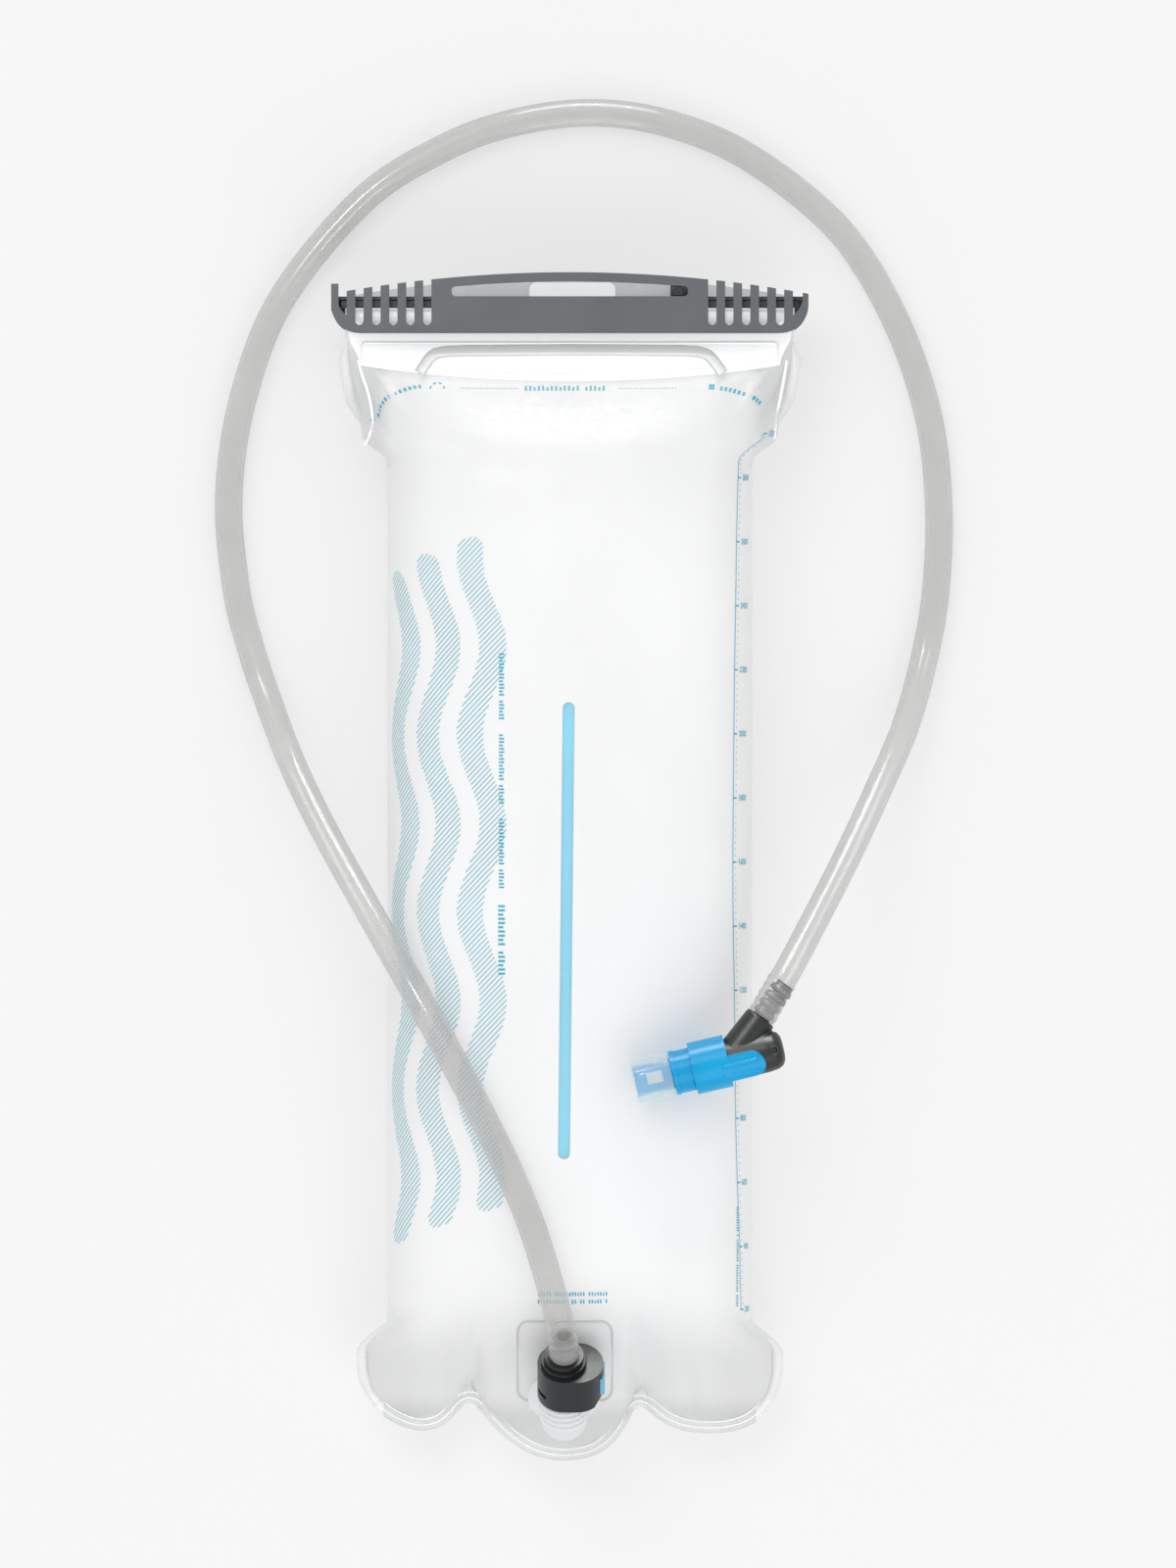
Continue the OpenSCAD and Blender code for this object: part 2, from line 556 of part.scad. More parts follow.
// Elbow of the bite valve: a barrel along the axis and a neck for the hose
barrel_r = 7.4;
module valve_elbow() {
    color(dark) difference() {
        union() {
            on_valve() translate([0, 0, 23]) cylinder(r = barrel_r, h = 25);
            on_valve() translate([0, 0, 48]) cylinder(r1 = barrel_r, r2 = 5.6, h = 6.4);
            on_elbow() cylinder(r = 5.8, h = elbow_l);
        }
        on_valve() translate([0, 0, 20]) cylinder(r = 6.1, h = 17);
        on_elbow() translate([0, 0, 2]) cylinder(r = tail_r - 1, h = elbow_l);
        on_elbow() translate([0, 0, elbow_l - 3]) cylinder(r = tail_r, h = 4);
    }
}
module valve_barb() {
    color(dark) on_elbow() translate([0, 0, elbow_l - 3]) barbed_tail(3.3, 3.3, 4);
}
module valve_oring() {
    color("#222222") on_valve() translate([0, 0, 28.9]) rotate_extrude() translate([5.35, 0]) circle(0.65, $fn = 24);
}

// Core: the tube that the mouthpiece fits over, with windows, a flange and a turning tail
module valve_core() {
    color(blue) on_valve() difference() {
        union() {
            translate([0, 0, 0.6]) cylinder(r = 5.6, h = 14);
            translate([0, 0, 14.2]) cylinder(r = 8, h = 1.6);
            translate([0, 0, 15.6]) cylinder(r = 7.7, h = 7);
            translate([0, 0, 22]) cylinder(r = 6.04, h = 14.6);
        }
        translate([0, 0, -1]) cylinder(r = 4.5, h = 12);
        translate([0, 0, 10]) cylinder(r = 3.4, h = 25.4);
        for (a = [0, 90]) rotate([0, 0, a]) translate([-8, -2.2, 5]) cube([16, 4.4, 5.5]);
        translate([0, 0, 28.1]) ring_cut(7, 4.7, 1.6);
        // Side port, which lines up with the neck's bore while the valve is open
        translate([0, 0, elbow_s]) rotate([valve_turn - elbow_turn, 0, 0]) cylinder(r = tail_r - 1, h = 12);
    }
}

// Twist collar with the arm that shows whether the valve is open
arm_turn = 203;
module twist_collar() {
    color(blue) on_valve() {
        difference() {
            translate([0, 0, 21.4]) cylinder(r = collar_r, h = 13);
            translate([0, 0, 20]) cylinder(r = barrel_r + 0.08, h = 16);
            translate([0, 0, 20]) cylinder(r = 7.7, h = 2.7);
        }
        rotate([0, 0, arm_turn]) intersection() {
            difference() {
                translate([0, 0, 30]) cylinder(r = collar_r, h = 17.2);
                translate([0, 0, 20]) cylinder(r = barrel_r + 0.08, h = 30);
            }
            translate([0, 0, 42.6]) rotate([0, 90, 0]) {
                cylinder(r = 4.6, h = 12);
                translate([0, -4.6, 0]) cube([12, 9.2, 12]);
            }
        }
    }
}

// Soft mouthpiece with a rounded lip and a slit face
module mouthpiece() {
    color(clear) on_valve() difference() {
        union() {
            translate([0, 0, 0]) cylinder(r1 = 7.6, r2 = mouth_r, h = 2);
            translate([0, 0, 2]) cylinder(r = mouth_r, h = 9);
            translate([0, 0, 11]) cylinder(r1 = mouth_r, r2 = 7.4, h = 2.9);
        }
        translate([0, 0, -1]) cylinder(r = 5.6 + fit_gap, h = 16);
    }
}

front_panel();
back_panel();
mouth_flap();
flap_stiffener();
front_rail();
rear_rail();
hang_tab();
front_baffle_strip();
rear_baffle_strip();
port_patch();
port_neck();
port_insert();
port_oring();
port_poppet();
poppet_spring();
clip_front();
clip_rear();
tether_stud();
coupling_housing();
release_button();
button_spring();
coupling_barb();
hose();
valve_elbow();
valve_barb();
valve_oring();
valve_core();
twist_collar();
mouthpiece();
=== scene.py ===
import bmesh
import bpy
import numpy as np
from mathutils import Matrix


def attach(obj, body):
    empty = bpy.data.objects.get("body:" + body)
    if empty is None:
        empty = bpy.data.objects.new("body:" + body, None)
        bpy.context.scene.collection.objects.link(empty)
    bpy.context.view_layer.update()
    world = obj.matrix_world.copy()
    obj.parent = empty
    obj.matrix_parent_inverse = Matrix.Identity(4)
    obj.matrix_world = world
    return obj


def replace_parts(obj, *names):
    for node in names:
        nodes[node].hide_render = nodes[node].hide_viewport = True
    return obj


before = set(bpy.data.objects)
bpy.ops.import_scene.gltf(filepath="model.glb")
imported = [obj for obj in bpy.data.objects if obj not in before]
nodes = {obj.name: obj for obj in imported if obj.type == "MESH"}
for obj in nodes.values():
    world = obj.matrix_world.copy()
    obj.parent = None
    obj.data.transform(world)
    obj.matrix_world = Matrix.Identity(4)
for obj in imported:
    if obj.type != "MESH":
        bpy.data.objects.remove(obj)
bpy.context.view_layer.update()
mm = 0.001

# numbers of the shape, in millimetres
bag = {
    "halfBody": 65.3, "top": 74.0, "film": 0.8, "mouthHalf": 80.0, "mouthZ": 33.0, "hemZ": 20.0,
    "topY": 202.6, "neckY": 188.2, "shoulderY": 145.0, "footY": -161.0, "endY": -197.0,
    "round": 2.6, "sideZ": 32.0, "tuck": 35.0, "tuckFrom": 0.45, "tuckSpan": 0.5, "flatGain": 1.12,
    "flare": 7.0, "flareLength": 14.0, "cornerY": -180.0, "cornerIn": 12.0, "cornerLength": 20.0,
    "notch": 8.5, "notchLength": 9.0, "earLength": 50.0, "longRise": (55, 62), "shortRise": (45, 50),
    "drawY": -140.0, "drawLength": 57.0, "drawPast": 5.0, "creaseGain": 1.7,
}
port = {"at": np.array([-2.1, -195.9, 49.7]), "tilt": 43.0}
valve = {"tip": np.array([22.6, -75.8, 84.5]), "turn": 12.9, "neckAt": 35.0, "neckTurn": 53.7, "neck": 18.9}


def ease(t):
    # three t squared less two t cubed, held between 0 and 1
    c = np.clip(t, 0, 1)
    return c * c * (3 - 2 * c)


def mix(a, b, t):
    # a plus the share t of the way to b
    return a + (b - a) * t


def unit(v):
    # each row over its own length
    return v / np.linalg.norm(v, axis=-1, keepdims=True)


def circle(count):
    # even angles once round
    return np.linspace(0, 2 * np.pi, count, endpoint=False)


def show(thing):
    # puts an object in the scene
    bpy.context.scene.collection.objects.link(thing)
    return thing


def modify(piece, name, kind, **settings):
    # adds a modifier with its settings
    modifier = piece.modifiers.new(name, kind)
    for key, value in settings.items():
        setattr(modifier, key, value)


def smoothShaded(mesh):
    mesh.polygons.foreach_set("use_smooth", np.full(len(mesh.polygons), True))


def power(v, p):
    # the size to the power p, with the sign kept
    return np.sign(v) * np.abs(v) ** p


def halfWidth(y):
    # half the body, plus the foot's flare, less its round corner, plus the notch and the ear up to the mouth
    b = bag
    corner = np.clip((b["cornerY"] - y) / b["cornerLength"], 0, 1)
    ear = b["mouthHalf"] - b["halfBody"] - b["notch"]
    return (b["halfBody"] + b["flare"] * ease((b["footY"] - y) / b["flareLength"])
            - b["cornerIn"] * (1 - np.sqrt(1 - corner ** 2))
            + b["notch"] * ease((y - b["shoulderY"]) / b["notchLength"])
            + ear * ease((y - b["shoulderY"]) / b["earLength"]))


def rise(y, top, bottom):
    # a quarter of a sine wave from each end, over these lengths
    return np.where(y > 0, np.sin(np.pi / 2 * np.clip((bag["neckY"] - y) / top, 0, 1)),
                    np.sin(np.pi / 2 * np.clip((y - bag["endY"]) / bottom, 0, 1)))


def endZ(y):
    # height of the closed end on this side of the middle
    return np.where(y > 0, bag["mouthZ"], bag["hemZ"])


def highZ(y):
    # from the end up to the top of the full bag, along the long rise
    return mix(endZ(y) + bag["film"], bag["top"], rise(y, *bag["longRise"]))


def lowZ(y):
    # from the end down to one film above the surface, along the short rise
    return mix(endZ(y), bag["film"], rise(y, *bag["shortRise"]))


def midZ(y):
    # from the end to the height where the full bag is widest, along the short rise
    return mix(endZ(y), bag["sideZ"], rise(y, *bag["shortRise"]))


def tuckAt(y):
    # degrees that the front film goes under the side, eased in over the later part of the long rise
    return bag["tuck"] * ease((rise(y, *bag["longRise"]) - bag["tuckFrom"]) / bag["tuckSpan"])


# the bottom edge: three round lobes with an arched notch between each two
lobes = np.array([(-76, -178), (-74.5, -185), (-72.3, -190.6), (-69, -194.6), (-65.3, -197.6), (-59, -200.6),
                  (-53, -201.8), (-47.5, -200.8), (-44, -198.8), (-41, -195.8), (-38.5, -193), (-36, -192),
                  (-33.5, -193), (-30.5, -196.5), (-26, -201.5), (-20, -206.6), (-12, -210.9), (-2.3, -212.6),
                  (8, -211), (15, -206.6), (19.5, -201), (22, -196), (24, -193.4), (26, -193.4), (28.5, -195),
                  (33, -198.5), (39, -201.3), (45, -202.5), (53, -202.7), (60, -201.6), (66, -199), (71, -194.5),
                  (73.3, -189), (75, -180)], float)


def smoothRoute(knots, before, after, steps):
    # each span is a cubic through its two knots, aimed by the knots on either side
    p = np.concatenate([[before], knots, [after]])
    p0, p1, p2, p3 = (p[k:len(p) - 3 + k][:, None, :] for k in range(4))
    t = np.linspace(0, 1, steps, endpoint=False)[None, :, None]
    spans = 0.5 * (2 * p1 + (p2 - p0) * t + (2 * p0 - 5 * p1 + 4 * p2 - p3) * t ** 2
                   + (3 * p1 - p0 - 3 * p2 + p3) * t ** 3)
    return np.concatenate([spans.reshape(-1, p.shape[1]), [knots[-1]]])


lobeLine = smoothRoute(lobes, 2 * lobes[0] - lobes[1], 2 * lobes[-1] - lobes[-2], 8)


def hemY(x):
    # the bottom edge at x, straight between the points of its smooth line
    return np.interp(x, lobeLine[:, 0], lobeLine[:, 1])


def footDrop(y, share):
    # the square of the way into the foot, times how far the bottom edge is past the end, at a share of the width
    edge = hemY(share * halfWidth(np.full_like(y, bag["endY"])))
    into = np.maximum(0, (bag["drawY"] - y) / bag["drawLength"])
    return into ** 2 * (edge + bag["drawPast"] - bag["endY"])


def filmPoint(y, a, lift=0.0):
    # a point of the section at y: a superellipse of half width and half height, a degrees round from +X
    n = 2 / bag["round"]
    c, s = power(np.cos(np.radians(a)), n), power(np.sin(np.radians(a)), n)
    x = (halfWidth(y) + lift) * c
    up = midZ(y) + (highZ(y) + lift - midZ(y)) * s
    down = midZ(y) + (midZ(y) - lowZ(y)) * np.maximum(-1, bag["flatGain"] * s)
    return np.stack([x, y + footDrop(y, c), np.where(s >= 0, up, down)], -1)


def frontZ(x, y):
    # the upper half of the section's superellipse, solved for its height at x
    r = np.minimum(0.985, np.abs(x) / halfWidth(y))
    return midZ(y) + (highZ(y) - midZ(y)) * (1 - r ** bag["round"]) ** (1 / bag["round"])


def filmHeight(x, y):
    # height of the front film above a point of the plan, with the foot's draw undone in a few steps
    row = np.asarray(y, float)
    for _ in range(12):
        row = y - footDrop(row, np.clip(x / halfWidth(row), -1, 1))
    return frontZ(x, row)


def filmSkin(x, y):
    # the film's height plus its ridges alone, so it is never under the smooth film
    return filmHeight(x, y) + bag["creaseGain"] * np.maximum(0, ripples(np.stack([x, y], -1)))


def addMesh(name, points, faces, outward=False):
    # a smooth mesh from points in millimetres; outward turns its normals out of the closed shape
    mesh = bpy.data.meshes.new(name)
    corners = faces if isinstance(faces, list) else faces.tolist()
    mesh.from_pydata((np.asarray(points, float) * mm).tolist(), [], corners)
    if outward:
        work = bmesh.new()
        work.from_mesh(mesh)
        bmesh.ops.recalc_face_normals(work, faces=work.faces)
        work.to_mesh(mesh)
        work.free()
    smoothShaded(mesh)
    mesh.update()
    return show(bpy.data.objects.new(name, mesh))


def gridFaces(rows, columns, closeRows=False, closeColumns=False):
    # each face joins a point with the next in its row and the two above
    i, j = np.meshgrid(np.arange(rows if closeRows else rows - 1),
                       np.arange(columns if closeColumns else columns - 1), indexing="ij")
    up, right = (i + 1) % rows, (j + 1) % columns
    quads = np.stack([i * columns + j, i * columns + right, up * columns + right, up * columns + j], -1)
    return quads.reshape(-1, 4)


def pointValue(piece, name, values):
    # one number at each point, which a material reads by this name
    attribute = piece.data.attributes.new(name, "FLOAT", "POINT")
    attribute.data.foreach_set("value", np.asarray(values, np.float32).ravel())


def gridPiece(name, grid, flip=False):
    # a sheet through a grid of points; flip turns its normals over
    faces = gridFaces(*grid.shape[:2])
    return addMesh(name, grid.reshape(-1, 3), faces[:, ::-1] if flip else faces)


def turned(profile, sides):
    # each pair of the profile is (along the axis, radius), turned about Z
    turn = circle(sides)
    w, r = profile[:, 0][:, None], profile[:, 1][:, None]
    return np.stack([r * np.cos(turn), r * np.sin(turn), w + 0 * turn], -1).reshape(-1, 3)


def lathe(name, profile, place, sides=96):
    # a turned ring, closed round its profile
    profile = np.asarray(profile, float)
    faces = gridFaces(len(profile), sides, closeRows=True, closeColumns=True)[:, ::-1]
    return addMesh(name, place(turned(profile, sides)), faces)


def rotation(axis, degrees):
    # the matrix that turns a column about the axis, built from the cosine and the sine
    a = np.radians(degrees)
    c, s = np.cos(a), np.sin(a)
    return {"x": np.array([[1, 0, 0], [0, c, -s], [0, s, c]]),
            "y": np.array([[c, 0, s], [0, 1, 0], [-s, 0, c]]),
            "z": np.array([[c, -s, 0], [s, c, 0], [0, 0, 1]])}[axis]


def onPort(p):
    # from the port's own axes, with Z along it, to the part's
    return np.asarray(p) @ rotation("x", -port["tilt"]).T + port["at"]


def onValve(p):
    # the same for the valve, with Z from its tip to its back
    return np.asarray(p) @ (rotation("z", valve["turn"]) @ rotation("y", 90)).T + valve["tip"]


def elbowCentre():
    # the neck's distance from the tip, along the valve's direction in the plan
    a = np.radians(valve["turn"])
    return valve["tip"] + valve["neckAt"] * np.array([np.cos(a), np.sin(a), 0])


def onElbow(p):
    # the same for the elbow's neck, with Z out along it
    return np.asarray(p) @ (rotation("z", valve["neckTurn"]) @ rotation("y", 90)).T + elbowCentre()


def mouldedCopy(name, node, bevel, angle=28):
    # the CAD node's own mesh with its loose triangles merged, flat faces joined and edges rounded
    source = nodes[node]
    mesh = source.data.copy()
    mesh.name = name
    work = bmesh.new()
    work.from_mesh(mesh)
    bmesh.ops.remove_doubles(work, verts=work.verts, dist=2e-6)
    bmesh.ops.dissolve_limit(work, angle_limit=np.radians(0.6), verts=work.verts, edges=work.edges)
    work.to_mesh(mesh)
    work.free()
    mesh.materials.clear()
    smoothShaded(mesh)
    piece = show(bpy.data.objects.new(name, mesh))
    if bevel:
        modify(piece, "rounding", "BEVEL", width=bevel * mm, segments=3, limit_method="ANGLE",
               angle_limit=np.radians(angle), harden_normals=True, use_clamp_overlap=True)
    mesh.set_sharp_from_angle(angle=np.radians(angle))
    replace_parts(piece, node)
    return piece


def newMaterial(name, colour, rough):
    # a plain principled material
    material = bpy.data.materials.new(name)
    material.use_nodes = True
    tree = material.node_tree
    shader = tree.nodes["Principled BSDF"]
    shader.inputs["Base Color"].default_value = (*colour, 1)
    shader.inputs["Roughness"].default_value = rough
    return material, tree, shader


def addNode(tree, kind, sockets=None, **settings):
    # a shader node, its own settings, and constants on its input sockets
    node = tree.nodes.new(kind)
    for key, value in settings.items():
        setattr(node, key, value)
    for key, value in (sockets or {}).items():
        node.inputs[key].default_value = value
    return node


def noiseOn(tree, scale, detail=3.0, stretch=None):
    # noise in the part's own space, with this many turns to the metre
    out = addNode(tree, "ShaderNodeTexCoord").outputs["Object"]
    if stretch is not None:
        mapping = addNode(tree, "ShaderNodeMapping", {"Scale": stretch})
        tree.links.new(out, mapping.inputs["Vector"])
        out = mapping.outputs["Vector"]
    noise = addNode(tree, "ShaderNodeTexNoise", {"Scale": scale, "Detail": detail})
    tree.links.new(out, noise.inputs["Vector"])
    return noise.outputs["Fac"]


def ranged(tree, value, low, high, fromLow=0.3, fromHigh=0.7):
    # in proportion, from low where the value is fromLow to high where it is fromHigh, and held outside
    ends = {"From Min": fromLow, "From Max": fromHigh, "To Min": low, "To Max": high}
    node = addNode(tree, "ShaderNodeMapRange", ends)
    tree.links.new(value, node.inputs["Value"])
    return node.outputs["Result"]


def mixColour(tree, fac, first, second):
    # the share fac of the way from the first colour to the second
    node = addNode(tree, "ShaderNodeMix", data_type="RGBA")
    tree.links.new(fac, node.inputs["Factor"])
    for socket, value in zip([s for s in node.inputs if s.type == "RGBA"], (first, second)):
        if isinstance(value, bpy.types.NodeSocket):
            tree.links.new(value, socket)
        else:
            socket.default_value = (*value, 1)
    return [s for s in node.outputs if s.type == "RGBA"][0]


def bumpOn(tree, shader, height, strength, distance):
    # tilts the shading along the slope of the height, which is distance metres from 0 to 1
    node = addNode(tree, "ShaderNodeBump", {"Strength": strength, "Distance": distance})
    tree.links.new(height, node.inputs["Height"])
    tree.links.new(node.outputs["Normal"], shader.inputs["Normal"])


def moulded(name, colour, rough, grain=2600, depth=0.25, tone=0.12, **sockets):
    # moulded plastic: fine grain in the bump and gloss, and a slow drift of tone
    material, tree, shader = newMaterial(name, colour, rough)
    for socket, value in sockets.items():
        shader.inputs[socket].default_value = value
    colour = np.array(colour)
    drift = ranged(tree, noiseOn(tree, 38, 4), 0, 1)
    tree.links.new(mixColour(tree, drift, colour * (1 - tone), np.minimum(1, colour * (1 + tone))),
                   shader.inputs["Base Color"])
    fine = noiseOn(tree, grain, 2)
    tree.links.new(ranged(tree, fine, rough - 0.06, rough + 0.08), shader.inputs["Roughness"])
    bumpOn(tree, shader, fine, depth, 0.00012)
    return material


def glowing(shader, strength):
    # white emission of this strength: a painted glow on film and plastic pieces, and an even glow on the floor
    shader.inputs["Emission Color"].default_value = (1, 1, 1, 1)
    shader.inputs["Emission Strength"].default_value = strength


def filmMaterial(name, colour, rough, body, thin, paintedGlow, window=False):
    # frosted film: cloudy tone, faint orange peel, clearer where the "thin" attribute is high, a painted shade that
    # darkens it where its attribute is high, and a painted glow of white emission
    material, tree, shader = newMaterial(name, colour, rough)
    glowing(shader, paintedGlow)
    shader.inputs["Specular IOR Level"].default_value = 0.22
    colour = np.array(colour)
    cloud = ranged(tree, noiseOn(tree, 22, 4, (1, 0.6, 1)), 0, 1)
    frosted = mixColour(tree, cloud, colour * 0.965, np.minimum(1, colour * 1.02))
    # painted shade: the colour darkens to four fifths where the attribute is high, standing in for shade at the foot,
    # towards the mouth and down each side
    shade = addNode(tree, "ShaderNodeAttribute", attribute_name="shade")
    withPaintedShade = mixColour(tree, shade.outputs["Fac"], frosted, colour * 0.80)
    tree.links.new(withPaintedShade, shader.inputs["Base Color"])
    fine = noiseOn(tree, 420, 3)
    tree.links.new(ranged(tree, fine, rough - 0.07, rough + 0.07), shader.inputs["Roughness"])
    bumpOn(tree, shader, fine, 0.05, 0.0003)
    thinness = addNode(tree, "ShaderNodeAttribute", attribute_name="thin")
    alpha = ranged(tree, thinness.outputs["Fac"], body, thin, 0, 1)
    if window:
        opening = ranged(tree, stripDistance(tree), *strip["clear"])
        alpha = calculate(tree, "MULTIPLY", alpha, opening)
    tree.links.new(alpha, shader.inputs["Alpha"])
    return material


def calculate(tree, operation, first, second=0.0):
    # one sum of two sockets or numbers
    node = addNode(tree, "ShaderNodeMath", operation=operation)
    for socket, value in zip(node.inputs, (first, second)):
        if isinstance(value, bpy.types.NodeSocket):
            tree.links.new(value, socket)
        else:
            socket.default_value = value
    return node.outputs[0]


# the strip inside the bag, in metres; clear is the film's alpha on it and off it, and the two distances between
strip = {"middle": (-0.0012, -0.0222, 0), "turn": -0.6, "half": 0.079, "clear": (0.10, 1, 0.0019, 0.0024)}


def stripDistance(tree):
    # distance in the plan from the strip's middle line: the root of the square past its end and the square across
    where = addNode(tree, "ShaderNodeTexCoord")
    mapping = addNode(tree, "ShaderNodeMapping", vector_type="TEXTURE")
    mapping.inputs["Location"].default_value = strip["middle"]
    mapping.inputs["Rotation"].default_value = (0, 0, np.radians(strip["turn"]))
    tree.links.new(where.outputs["Object"], mapping.inputs["Vector"])
    parts = addNode(tree, "ShaderNodeSeparateXYZ")
    tree.links.new(mapping.outputs["Vector"], parts.inputs["Vector"])
    away = calculate(tree, "ABSOLUTE", parts.outputs["Y"])
    past = calculate(tree, "MAXIMUM", calculate(tree, "SUBTRACT", away, strip["half"]), 0)
    square = calculate(tree, "ADD", calculate(tree, "MULTIPLY", past, past),
                       calculate(tree, "MULTIPLY", parts.outputs["X"], parts.outputs["X"]))
    return calculate(tree, "SQRT", square)


def hoseMaterial(name, colour, rough, middle, edge):
    # smoky tubing: more of it is in the way towards its edges
    material, tree, shader = newMaterial(name, colour, rough)
    facing = addNode(tree, "ShaderNodeLayerWeight", {"Blend": 0.5})
    alpha = ranged(tree, facing.outputs["Facing"], middle, edge, 0.25, 1.0)
    bore = addNode(tree, "ShaderNodeAttribute", attribute_name="bore")
    faint = ranged(tree, bore.outputs["Fac"], 1, 0.2, 0, 1)
    tree.links.new(calculate(tree, "MULTIPLY", alpha, faint), shader.inputs["Alpha"])
    colour = np.array(colour)
    drift = ranged(tree, noiseOn(tree, 60, 3), 0, 1)
    tinted = mixColour(tree, drift, colour * 0.95, np.minimum(1, colour * 1.05))
    tree.links.new(tinted, shader.inputs["Base Color"])
    fine = noiseOn(tree, 260, 3)
    tree.links.new(ranged(tree, fine, rough - 0.04, rough + 0.06), shader.inputs["Roughness"])
    bumpOn(tree, shader, fine, 0.08, 0.0002)
    return material


materials = {
    # the last number of each film is its painted glow: white emission that brightens the film and fills its shadows,
    # though the film is no lamp
    "film": filmMaterial("frostedFilm", (0.93, 0.935, 0.94), 0.42, 0.90, 0.45, 0.06, True),
    "backFilm": filmMaterial("frostedBackFilm", (0.93, 0.935, 0.94), 0.45, 0.96, 0.4, 0.07),
    "flap": filmMaterial("clearFlap", (0.95, 0.955, 0.96), 0.30, 0.94, 0.5, 0.27),
    "fold": moulded("foldedFilm", (0.95, 0.955, 0.96), 0.30, 700, 0.1, 0.02),
    "weld": moulded("weldedSeam", (0.93, 0.94, 0.95), 0.30, 900, 0.15, 0.02),
    "stiffener": moulded("greyBand", (0.70, 0.71, 0.71), 0.38, 1200, 0.15, 0.04, Alpha=0.8),
    "plate": moulded("slatePlastic", (0.100, 0.113, 0.121), 0.40, 3200, 0.35, 0.10),
    "dark": moulded("darkSlatePlastic", (0.040, 0.046, 0.052), 0.38, 3200, 0.35, 0.10),
    "coupling": moulded("darkCoupling", (0.010, 0.012, 0.014), 0.33, 3200, 0.3, 0.12,
                        **{"Specular IOR Level": 0.36}),
    "elbow": moulded("darkElbow", (0.014, 0.017, 0.016), 0.36, 3200, 0.35, 0.12),
    "blackPlastic": moulded("blackStud", (0.012, 0.013, 0.015), 0.30, 2600, 0.2, 0.1),
    # painted highlight: the grip rings are a lighter copy of the barb plastic, so they read as lit bands
    "rings": moulded("barbRings", (0.26, 0.27, 0.27), 0.35, 2600, 0.2, 0.1),
    "barb": moulded("barbPlastic", (0.06, 0.062, 0.062), 0.40, 2600, 0.2, 0.1),
    "tab": moulded("clearTab", (0.80, 0.83, 0.84), 0.30, 700, 0.15, 0.03, Alpha=0.62),
    "strip": moulded("paleBlueStrip", (0.17, 0.70, 0.93), 0.45, 1500, 0.15, 0.05),
    "button": moulded("paleBlueButton", (0.20, 0.50, 0.74), 0.42, 2600, 0.25, 0.06),
    "clearPort": moulded("clearPort", (0.88, 0.89, 0.90), 0.20, 800, 0.15, 0.03, Alpha=0.45),
    "patch": moulded("patchEdge", (0.66, 0.67, 0.68), 0.34, 900, 0.15, 0.03, Alpha=0.75),
    "white": moulded("whitePlastic", (0.82, 0.83, 0.84), 0.38, 2400, 0.2, 0.03),
    "rubber": moulded("blackRubber", (0.015, 0.015, 0.016), 0.55, 2000, 0.3, 0.1),
    "steel": moulded("springSteel", (0.62, 0.62, 0.63), 0.28, 1500, 0.2, 0.05, Metallic=1.0),
    "blue": moulded("glossyBlue", (0.0, 0.38, 0.74), 0.22, 2400, 0.12, 0.08,
                    **{"Specular IOR Level": 0.28}),
    "hose": hoseMaterial("smokeHose", (0.60, 0.594, 0.582), 0.12, 0.34, 0.86),
    "silicone": hoseMaterial("clearSilicone", (0.82, 0.95, 0.98), 0.12, 0.18, 0.78),
    "ink": moulded("blueInk", (0.0, 0.41, 0.56), 0.45, 1800, 0.1, 0.1),
}
# painted glow: white emission on these pieces, though none of them is a lamp
paintedGlows = {"fold": 0.35, "weld": 0.12, "stiffener": 0.08, "patch": 0.05, "clearPort": 0.06}
for name, paintedGlow in paintedGlows.items():
    glowing(materials[name].node_tree.nodes["Principled BSDF"], paintedGlow)


def finish(piece, material, body="reservoir"):
    # gives a piece its material and the body that it rides on
    piece.data.materials.clear()
    piece.data.materials.append(materials[material])
    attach(piece, body)
    return piece


# in metres: the middle, height and plane of the view, and the camera's height
studio = {"centre": (0.0065, 0.0299), "field": 0.560, "plane": 0.040, "far": 6.0, "sensor": 36}


def makeCamera():
    # straight above; the lens is the sensor times the distance to the plane, over the field
    camera = show(bpy.data.objects.new("camera", bpy.data.cameras.new("camera")))
    camera.location = (*studio["centre"], studio["far"])
    camera.data.sensor_width = studio["sensor"]
    camera.data.lens = studio["sensor"] * (studio["far"] - studio["plane"]) / studio["field"]
    camera.data.clip_end = 50
    bpy.context.scene.camera = camera


makeCamera()
print("stage: film of the bag")

# painted shade rows are strength, start and span of a painted shade that darkens the film; the foot's runs towards -Y
film = {
    "rows": 250, "columns": 150, "wall": 0.5, "hemSteps": (0.35, 0.7, 1.0),
    "thinX": 62, "thinSpan": 8, "thinY": 142, "thinFootY": -188, "thinFootSpan": 10,
    "footPaintedShade": (0.75, -152, -26), "mouthPaintedShade": (0.18, 118, 40), "sidePaintedShade": (0.30, 47, 16),
}


def rowsOf(count, top, end):
    # half even steps and half steps along a cosine, so closer together at both ends
    s = np.linspace(0, 1, count)
    return mix(top, end, 0.5 * s + 0.25 * (1 - np.cos(np.pi * s)))


def crease(x, y, x0, y0, x1, y1, width, depth):
    # a bell curve of the distance from a line in the plan, which weakens with the square of the way along it
    dx, dy = x1 - x0, y1 - y0
    t = np.clip(((x - x0) * dx + (y - y0) * dy) / (dx * dx + dy * dy), 0, 1)
    away = np.hypot(x - x0 - t * dx, y - y0 - t * dy)
    return depth * np.exp(-(away / width) ** 2) * (1 - t ** 2 * 0.85)


